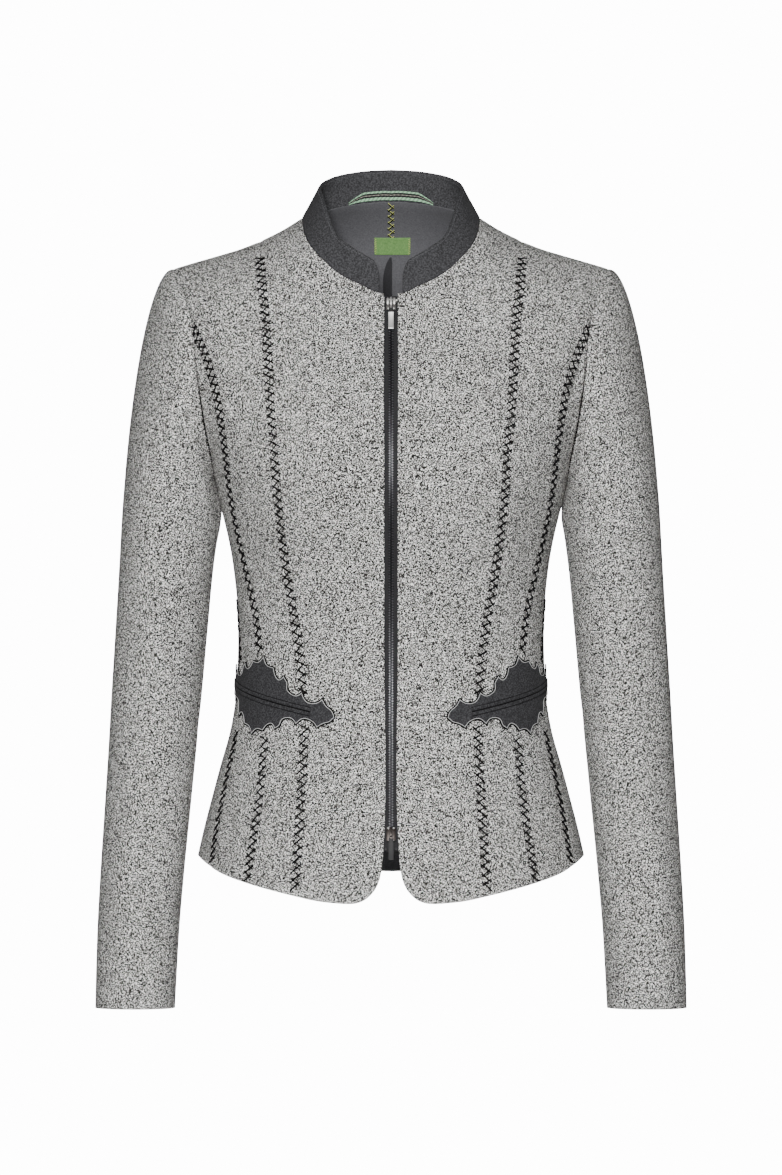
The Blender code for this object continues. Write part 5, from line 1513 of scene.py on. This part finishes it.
def flat_piece(shape):
    """A filled outline in small cells, and the cut's width, length and area."""
    bm = bmesh.new()
    verts = [bm.verts.new((x, y, 0)) for x, y in shape]
    edges = [bm.edges.new((verts[i - 1], verts[i])) for i in range(len(verts))]
    bmesh.ops.triangle_fill(bm, edges=edges, use_beauty=True)
    xs, ys = [x for x, _ in shape], [y for _, y in shape]
    for way, values in (((1, 0, 0), xs), ((0, 1, 0), ys)):
        for k in np.arange(math.ceil(min(values) / PATCH_CELL), max(values) / PATCH_CELL):
            bmesh.ops.bisect_plane(bm, geom=bm.verts[:] + bm.edges[:] + bm.faces[:], dist=1e-3,
                                   plane_co=[float(k) * PATCH_CELL * v for v in way], plane_no=way)
    area = sum(f.calc_area() for f in bm.faces) * MM * MM
    uv = bm.loops.layers.uv.new("UVMap")
    for face in bm.faces:
        for loop in face.loops:
            loop[uv].uv = (loop.vert.co.x * MM, loop.vert.co.y * MM)
    return bm, ((max(xs) - min(xs)) * MM, (max(ys) - min(ys)) * MM, area)


print("cells of %.0f mm" % PATCH_CELL)

# %% [markdown]
# Then it is laid on the body's side and gets its thickness. The same function makes the patch and the
# two welts of the slit, and for the right side it mirrors the mesh and turns its faces back outwards.

# %% Patches and welts
def bent(name, shape, lift, thick, material, nodes):
    """A flat shape bent round the body on both sides; returns the cut's width, length and area."""
    bm, measures = flat_piece(shape)
    for v in bm.verts:
        v.co = Vector(on_pocket(v.co.x, v.co.y, lift + thick / 2)) * MM
    for side, flip in (("left", 1), ("right", -1)):
        half = bm.copy()
        bmesh.ops.scale(half, vec=(flip, 1, 1), verts=half.verts)
        bmesh.ops.recalc_face_normals(half, faces=half.faces)
        if sum(f.normal.x * flip for f in half.faces) < 0:
            bmesh.ops.reverse_faces(half, faces=half.faces)
        mesh = bpy.data.meshes.new(f"{name}_{side}")
        half.to_mesh(mesh)
        half.free()
        mesh.shade_smooth()
        mesh.materials.append(material)
        piece = bpy.data.objects.new(f"{name}_{side}", mesh)
        bpy.context.collection.objects.link(piece)
        wall = piece.modifiers.new("cloth thickness", "SOLIDIFY")
        wall.thickness, wall.offset = thick * MM, 0.0
        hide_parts(*[f"{node}_{side}" for node in nodes])
        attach(piece, "jacket")
        pieces[piece.name] = piece
    bm.free()
    return measures


SLIT_HALF, WELT_WIDE, WELT_GAP, WELT_THICK = 54.0, 3.0, 1.0, 1.1
patch_cut = bent("pocket_patch", outline, 0.0, PATCH_THICK, felt, ["pocket_applique"])
for name, way in (("upper", 1), ("lower", -1)):
    near, far = way * WELT_GAP / 2, way * (WELT_GAP / 2 + WELT_WIDE)
    strip = [(-SLIT_HALF, near), (SLIT_HALF, near), (SLIT_HALF - 1, far), (1 - SLIT_HALF, far)]
    bent(f"welt_{name}", strip, PATCH_THICK, WELT_THICK, felt, [f"pocket_welt_{name}"])
print("patch: %.0f by %.0f mm" % (patch_cut[0] / MM, patch_cut[1] / MM))

# %% [markdown]
# The cord lies half over the patch's edge. The pale thread runs just inside it as a painted highlight
# of the cord, and a black thread in the slit between the welts is painted shade of the opening. Finer
# black threads close the welts' outer edges.

# %% Cord, its painted highlight, and the painted shade in the slit
CORD, CORD_IN, CORD_LOW = 0.62, 0.3, 0.75       # radius, inset, and height as a share of the patch
CORD_HIGHLIGHT, PALE_IN, PALE_LIFT = 0.24, 1.15, 0.08
RIM_THREAD, RIM_OUT, RIM_LIFT = 0.42, 0.15, 0.4
SLIT_SHADE, SLIT_LIFT = 0.5, 0.7


def inset(shape, by):
    """The outline moved inwards by some millimetres, corner by corner."""
    points = np.array(shape)
    way = unit(np.roll(points, -1, axis=0) - np.roll(points, 1, axis=0))
    return points + by * np.stack([-way[:, 1], way[:, 0]], axis=1)


def laid(shape, lift):
    """The points of a flat line, laid on the patch."""
    return [on_pocket(x, y, PATCH_THICK + lift) for x, y in shape]


def along_slit(y, count=40):
    """A flat line as long as the slit, some millimetres above or below it."""
    return [(x, y) for x in np.linspace(-SLIT_HALF, SLIT_HALF, count)]


rim_at = WELT_GAP / 2 + WELT_WIDE + RIM_OUT
cord_line = [laid(inset(outline, CORD_IN), PATCH_THICK * (CORD_LOW - 1))]
pale_line = [laid(inset(outline, PALE_IN), PALE_LIFT)]
rim_lines = [laid(along_slit(rim_at), RIM_LIFT), laid(along_slit(-rim_at), RIM_LIFT)]
# The black thread between the welts is painted shade for the opening of the slit.
slit_line = [laid(along_slit(0), SLIT_LIFT)]
for side, turn in (("left", as_is), ("right", flipped)):
    cord = threads(f"pocket_cord_{side}", turn(cord_line), CORD, black_yarn, closed=True, sides=2)
    pale = threads(f"pocket_pale_thread_{side}", turn(pale_line), CORD_HIGHLIGHT, cord_highlight_yarn, closed=True)
    rims = threads(f"welt_rims_{side}", turn(rim_lines), RIM_THREAD, black_yarn)
    slit = threads(f"pocket_slit_{side}", turn(slit_line), SLIT_SHADE, black_yarn)
    pieces.update({piece.name: piece for piece in (cord, pale, rims, slit)})
    cut[f"pocket_patch_{side}"] = patch_cut
print("slit: %.0f mm long" % (2 * SLIT_HALF))

# %% [markdown]
# ## The zip
#
# A two-way zip: woven tapes, metal teeth that interlock, a slider at each end with a pull tab. It
# follows the curve of the front, so every part is built in a small frame of its own that lies on the
# zip at some height. Array modifiers would need a curve to follow; a loop that asks for the frame of
# each tooth is simpler.

# %% The zip's own frame
ZIP_TOP, CHAIN_TOP, CHAIN_FOOT, ZIP_FOOT = -67.0, -73.5, -514.0, -533.0
TAPE_INNER, TAPE_OUTER, TAPE_THICK, TAPE_DEPTH = 1.3, 13.5, 0.7, 2.65
SHARP_FROM = math.radians(40)


def zip_matrix(height):
    """Place and turn on the zip: x to the wearer's left, y into the jacket, z up the zip, in metres."""
    mark = locate(height, np.array(0.0))
    up = unit(body(mark[0], mark[1] - 2.0) - body(mark[0], mark[1] + 2.0))
    place = Vector(body(*mark) - body_normal(*mark) * TAPE_DEPTH) * MM
    return Matrix.Translation(place) @ Matrix.Rotation(math.atan2(-up[1], up[2]), 4, "X")


def made_mesh(name, bm, material, node=None, body_name="jacket", smooth_faces=True):
    """Turns a bmesh into an object that rides on a body, in place of a node where one is named."""
    bmesh.ops.recalc_face_normals(bm, faces=bm.faces)
    mesh = bpy.data.meshes.new(name)
    bm.to_mesh(mesh)
    bm.free()
    mesh.materials.append(material)
    if smooth_faces:
        mesh.shade_smooth()
        mesh.set_sharp_from_angle(angle=SHARP_FROM)
    piece = bpy.data.objects.new(name, mesh)
    bpy.context.collection.objects.link(piece)
    if node:
        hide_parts(node)
    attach(piece, body_name)
    return piece


def block(bm, low, high, place, round_by=0.0, segments=2):
    """A rounded block between two corners in millimetres, in the frame of place."""
    middle, size = (Vector(low) + Vector(high)) / 2, Vector(high) - Vector(low)
    scale = Matrix.Diagonal((*(size * MM), 1))
    made = bmesh.ops.create_cube(bm, size=1.0, matrix=place @ Matrix.Translation(middle * MM) @ scale)
    if round_by:
        edges = list({e for v in made["verts"] for e in v.link_edges})
        bmesh.ops.bevel(bm, geom=edges, offset=round_by * MM, affect="EDGES", segments=segments,
                        profile=0.5, material=-1)


print("length of the zip: %.0f mm" % (ZIP_TOP - ZIP_FOOT))

# %% [markdown]
# The tapes are strips of woven cloth behind the two front edges. They follow the front's own surface,
# set back by their depth, so they bend with it.

# %% Tapes
tape_heights = np.linspace(ZIP_FOOT, ZIP_TOP, 95)
tape_marks = np.stack([np.array([locate(z, np.array(x)) for z in tape_heights])
                       for x in np.linspace(TAPE_INNER, TAPE_OUTER, 7)], axis=1)
tape, tape_ways = surface(tape_marks)
tape = tape - tape_ways * TAPE_DEPTH
for side, turn in HALVES:
    cloth(f"zip_tape_cloth_{side}", turn(tape), turn(tape_ways), [tape_cloth], [f"zip_tape_{side}"],
          thick=TAPE_THICK * MM, edge_round=FINE_EDGE_ROUND)
print("length of the tape: %.0f mm" % running_length(tape[:, 0])[-1])

# %% [markdown]
# A real tooth is stamped and clamped on the tape's bead, and its head has a small bump that locks into
# its neighbours. Here each tooth is a bevelled block with a higher block for its head, in two rows that
# are half a step apart; the heads are lighter, a painted highlight for the glints on the teeth. All the
# blocks are one mesh and all the heads another, which is light to draw.

# %% Teeth
TOOTH_STEP = 2.2        # from tooth to tooth on one tape
teeth = np.arange(CHAIN_FOOT + 1, CHAIN_TOP - 1, TOOTH_STEP / 2)
TOOTH_PARTS = (     # from and to beside the middle, half depth, half height, all in millimetres
    ("zip_teeth", tooth_metal, "zip_chain", (-0.6, 2.5, 0.8, 0.42)),
    ("zip_teeth_heads", tooth_head_glint, None, (0.45, 1.95, 1.15, 0.4)),
)
for name, material, node, (start, end, deep, tall) in TOOTH_PARTS:
    bm = bmesh.new()
    for k, z in enumerate(teeth):
        low, high = sorted((start, end) if k % 2 else (-start, -end))
        block(bm, (low, -deep, -tall), (high, deep, tall), zip_matrix(z), round_by=0.22, segments=1)
    made_mesh(name, bm, material, node, smooth_faces=False)
print("teeth:", len(teeth))

# %% [markdown]
# The top slider has a fluted crown of three lobes and a small bridge that holds the pull tab. The
# lobes are stretched spheres sunk into the front plate. A slider is two plates joined by a small
# wedge between the two rows of teeth; `way` says at which end of the plates the wedge sits.

# %% Sliders
TOP_SLIDER_AT, FOOT_SLIDER_AT = -72.3, -519.6
SLIDER_HALF, SLIDER_REACH, PLATE_FROM, PLATE_TO = 4.05, 6.0, 1.5, 2.5
BRIDGE_HALF, BRIDGE_REACH, BRIDGE_TOP = 0.75, 2.7, 5.0


def lobe(bm, place, middle, radii):
    """A stretched sphere."""
    scale = Matrix.Diagonal((*(Vector(radii) * MM), 1))
    bmesh.ops.create_uvsphere(bm, u_segments=14, v_segments=8, radius=1.0,
                              matrix=place @ Matrix.Translation(Vector(middle) * MM) @ scale)


def bridge(bm, place):
    """The bar that holds the pull tab, on two short feet."""
    bar_low = (-BRIDGE_HALF, -BRIDGE_TOP - 0.75, -BRIDGE_REACH)
    bar_high = (BRIDGE_HALF, -BRIDGE_TOP + 0.1, BRIDGE_REACH)
    block(bm, bar_low, bar_high, place, round_by=0.3)
    for z in (-BRIDGE_REACH, BRIDGE_REACH - 0.8):
        foot_high = (BRIDGE_HALF, -PLATE_TO + 0.3, z + 0.8)
        block(bm, (-BRIDGE_HALF, -BRIDGE_TOP, z), foot_high, place, round_by=0.2)


def slider_body(bm, place, way):
    """The two plates of a slider and the wedge that joins them."""
    for near in (-PLATE_TO, PLATE_FROM):
        block(bm, (-SLIDER_HALF, near, -SLIDER_REACH), (SLIDER_HALF, near + 1.0, SLIDER_REACH), place,
              round_by=0.45)
    low, high = sorted((way * (SLIDER_REACH - 2.6), way * SLIDER_REACH))
    block(bm, (-1, -1.6, low + 0.1), (1, 1.6, high - 0.1), place)


print("a slider is %.1f by %.0f mm" % (2 * SLIDER_HALF, 2 * SLIDER_REACH))

# %% [markdown]
# The two sliders are alike behind and differ in front: the upper one carries the crown, the lower one
# a few small knobs and a rim in bright nickel, a painted highlight on its darker body.

# %% Both sliders
place = zip_matrix(TOP_SLIDER_AT - 1.5)
bm = bmesh.new()
slider_body(bm, place, 1)
# The top slider's body is a darker copy of the crown's nickel: painted shade under the crown.
made_mesh("slider_top", bm, shaded_nickel, "zip_slider_top")
bm = bmesh.new()
for x, tall in ((-2.75, 3.6), (0, 4.2), (2.75, 3.6)):
    lobe(bm, place, (x, -PLATE_TO - 0.05, 1.9), (1.45, 1.25, tall))
for x in (-2.25, 2.25):
    lobe(bm, place, (x, -PLATE_TO - 0.4, -5.2), (0.85, 0.9, 0.75))
bridge(bm, place)
made_mesh("slider_top_crown", bm, nickel)

place = zip_matrix(FOOT_SLIDER_AT)
bm = bmesh.new()
slider_body(bm, place, -1)
bridge(bm, place)
made_mesh("slider_foot", bm, dark_metal, "zip_slider_foot")
bm = bmesh.new()
for x in (-2.3, 2.3):
    lobe(bm, place, (x, -PLATE_TO - 0.1, 5.0), (1.1, 0.8, 0.8))
lobe(bm, place, (0, -PLATE_TO - 0.1, -5.4), (3.0, 0.6, 0.4))
made_mesh("slider_foot_glints", bm, nickel)
print("from slider to slider: %.0f mm" % (TOP_SLIDER_AT - FOOT_SLIDER_AT))

# %% [markdown]
# The tab swings on a bar under the bridge, so it is an object of its own that rides on the body of its
# joint. A real tab is cast flat with a sunk field; `inset_individual` sinks the large faces of the
# block. The link is four small blocks: two cheeks, the bar they turn on, and the eye of the tab.

# %% Pull tabs
TAB_HALF, TAB_HALF_THICK, PIVOT_HIGH = 2.25, 0.5, 1.3
FIELD_FROM, FIELD_IN, FIELD_DEEP = 40, 0.6, 0.18    # least area of a sunk face, its rim and its depth


def pull_tab(side, place, start, end, material, link_material):
    """A flat pull with a sunk field and a rounded foot, hung from its bar by a narrow link."""
    pivot = place @ Matrix.Translation(Vector((0, -(PLATE_TO + PIVOT_HIGH), 0)) * MM)
    bm = bmesh.new()
    block(bm, (-TAB_HALF, -TAB_HALF_THICK, -end), (TAB_HALF, TAB_HALF_THICK, -start), pivot, round_by=0.25)
    large = [f for f in bm.faces if f.calc_area() > FIELD_FROM * MM * MM]
    bmesh.ops.inset_individual(bm, faces=large, thickness=FIELD_IN * MM, depth=-FIELD_DEEP * MM)
    foot_low = (-TAB_HALF, -TAB_HALF_THICK - 0.25, -end)
    foot_high = (TAB_HALF, TAB_HALF_THICK + 0.1, -end + 1.7)
    block(bm, foot_low, foot_high, pivot, round_by=0.3)
    made_mesh(f"pull_tab_{side}", bm, material, f"zip_pull_{side}", f"{side}_pull")
    bm = bmesh.new()
    for x in (-1.35, 0.7):
        block(bm, (x, -0.42, 1.0 - start), (x + 0.65, 0.42, 0.42), pivot, round_by=0.2)
    block(bm, (-1.35, -0.4, -0.4), (1.35, 0.4, 0.4), pivot, round_by=0.2)
    eye = max(start - 3.8, BRIDGE_REACH + 1.4)
    block(bm, (-1.75, -0.45, -start - 0.3), (1.75, 0.45, -eye), pivot, round_by=0.2)
    made_mesh(f"pull_link_{side}", bm, link_material, None, f"{side}_pull")


# The top tab hangs from a black link: painted shade for the dark recess in the slider's mouth.
pull_tab("top", zip_matrix(TOP_SLIDER_AT), 10.6, 26.4, nickel, enamel_and_shade)
pull_tab("foot", zip_matrix(FOOT_SLIDER_AT), 6.6, 22.6, enamel_and_shade, enamel_and_shade)
print("width of a tab: %.1f mm" % (2 * TAB_HALF))

# %% [markdown]
# A metal stop at the top of one tape keeps the slider on, and two pins at the foot hold the tapes
# together when the jacket is zipped.

# %% Stops at the ends of the tapes
bm = bmesh.new()
block(bm, (3.8, -3.4, -0.8), (5.4, 0.9, 1.0), zip_matrix(ZIP_TOP - 4.6), round_by=0.4)
made_mesh("zip_top_stop", bm, nickel)
bm = bmesh.new()
for x in (-5.3, 3.5):
    block(bm, (x, -0.9, -1.1), (x + 1.8, 0.9, 1.1), zip_matrix(ZIP_FOOT + 1.2), round_by=0.3)
made_mesh("zip_foot_pins", bm, enamel_and_shade)

# %% [markdown]
# ## Floor, light and camera
#
# The jacket hangs before a white ground, and yet its sides are dark. A white room would light them
# from all around, so the ground only looks bright: the Light Path node lets the camera see a glow
# there, and every other ray a dim surface that throws little light back.
#
# The floor's faint grain reads Generated coordinates, from 0 to 1 over the plane. That holds because
# the floor has no modifiers; on cloth with live modifiers it would slide.

# %% Floor
FLOOR_GLOW, GLOW_SHARE = 3.0, 0.85
FLOOR_AT, FLOOR_REACH = -1.25, 4.5
bm = bmesh.new()
bmesh.ops.create_grid(bm, x_segments=1, y_segments=1, size=FLOOR_REACH)
bmesh.ops.translate(bm, vec=(0, 0, FLOOR_AT), verts=bm.verts)
mesh = bpy.data.meshes.new("Floor")
bm.to_mesh(mesh)
bm.free()
floor = bpy.data.objects.new("Floor", mesh)
bpy.context.collection.objects.link(floor)
paper, tree, shader = new_material("Paper, white", {"Roughness": 0.9})
grain = add(tree, "ShaderNodeTexNoise", {"Scale": 2.0, "Detail": 2.0})
tint = add(tree, "ShaderNodeMix", {"data_type": "RGBA", 6: srgb("#f4f4f4"), 7: srgb("#ffffff")},
           {0: grain.outputs["Fac"]})
dim = add(tree, "ShaderNodeMix",
          {"data_type": "RGBA", "blend_type": "MULTIPLY", 0: 1.0, 7: srgb("#8c8c8c")},
          {6: tint.outputs[2]})
tree.links.new(dim.outputs[2], shader.inputs["Base Color"])
seen = add(tree, "ShaderNodeLightPath")
glow = add(tree, "ShaderNodeEmission", {"Strength": FLOOR_GLOW}, {"Color": tint.outputs[2]})
share = add(tree, "ShaderNodeMath", {"operation": "MULTIPLY", 1: GLOW_SHARE},
            {0: seen.outputs["Is Camera Ray"]})
lit = add(tree, "ShaderNodeMixShader", None,
          {0: share.outputs[0], 1: shader.outputs[0], 2: glow.outputs[0]})
tree.links.new(lit.outputs[0], tree.nodes["Material Output"].inputs["Surface"])
mesh.materials.append(paper)
floor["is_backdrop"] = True
print("floor at %.2f m" % FLOOR_AT)

# %% [markdown]
# The world works the same way: white for the camera, nearly dark for the light that it casts.

# %% World
SKY, BACKDROP = 0.03, 14.0      # what the room casts, and what the camera sees of it
WHITE = (1, 1, 1, 1)
world = bpy.data.worlds.new("Pale room")
world.use_nodes = True
tree = world.node_tree
seen = add(tree, "ShaderNodeLightPath")
cast = add(tree, "ShaderNodeBackground", {"Color": WHITE, "Strength": SKY})
shown = add(tree, "ShaderNodeBackground", {"Color": WHITE, "Strength": BACKDROP})
both = add(tree, "ShaderNodeMixShader", None,
           {0: seen.outputs["Is Camera Ray"], 1: cast.outputs[0], 2: shown.outputs[0]})
tree.links.new(both.outputs[0], tree.nodes["World Output"].inputs["Surface"])
bpy.context.scene.world = world
print("world:", world.name)

# %% [markdown]
# One softbox stands near the camera, so the wool is bright where it faces forward and darkens where it
# turns away. A weak one from above gives the shoulders a little shape, and one from behind lights the
# back of the jacket when it is turned round.

# %% Lights
FRONT_POWER, TOP_POWER, BACK_POWER = 500, 6, 260    # watts
LIGHTS_AIM_AT = (0, 0, -0.3)


def area_light(name, place, size, power):
    """A round softbox, its diameter in metres, turned towards the jacket's middle."""
    light = bpy.data.lights.new(name, "AREA")
    light.shape, light.size, light.energy = "DISK", size, power
    lamp = bpy.data.objects.new(name, light)
    lamp.location = place
    lamp.rotation_euler = (Vector(LIGHTS_AIM_AT) - Vector(place)).to_track_quat("-Z", "Y").to_euler()
    bpy.context.collection.objects.link(lamp)


area_light("Front softbox", (-0.25, -5.5, 0.6), 1.2, FRONT_POWER)
area_light("Top softbox", (0.4, -1.2, 2.6), 1.8, TOP_POWER)
area_light("Back softbox", (0.3, 5.5, 0.4), 1.8, BACK_POWER)
print("lights:", len(bpy.data.lights))

# %% [markdown]
# The camera looks straight at the front from far away through a long lens, so the jacket is seen
# almost without perspective. Its lens is worked out from the height that the frame should hold.

# %% Camera
CAMERA_AWAY, CAMERA_AT, FRAME_TALL = 8.0, (0.0, -0.3133), 0.99875
lens = bpy.data.cameras.new("Camera")
lens.sensor_fit, lens.sensor_width = "AUTO", 36.0
lens.lens = 36.0 * CAMERA_AWAY / FRAME_TALL
print("lens: %.0f mm" % lens.lens)
camera = bpy.data.objects.new("Camera", lens)
camera.location = (CAMERA_AT[0], -CAMERA_AWAY, CAMERA_AT[1])
camera.rotation_euler = (math.radians(90), 0, 0)
bpy.context.collection.objects.link(camera)
bpy.context.scene.camera = camera

# %% [markdown]
# ## Size before and after
#
# Both boxes, of the solids that the jacket was built on and of the finished jacket, are printed
# side by side. The finished jacket may be no bigger than the solids it was built on.

# %% Size before and after
size_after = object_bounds()
for axis, low, high, new_low, new_high in zip("xyz", *size_before, *size_after):
    print(f"{axis}: {low:.4f} to {high:.4f} became {new_low:.4f} to {new_high:.4f}")
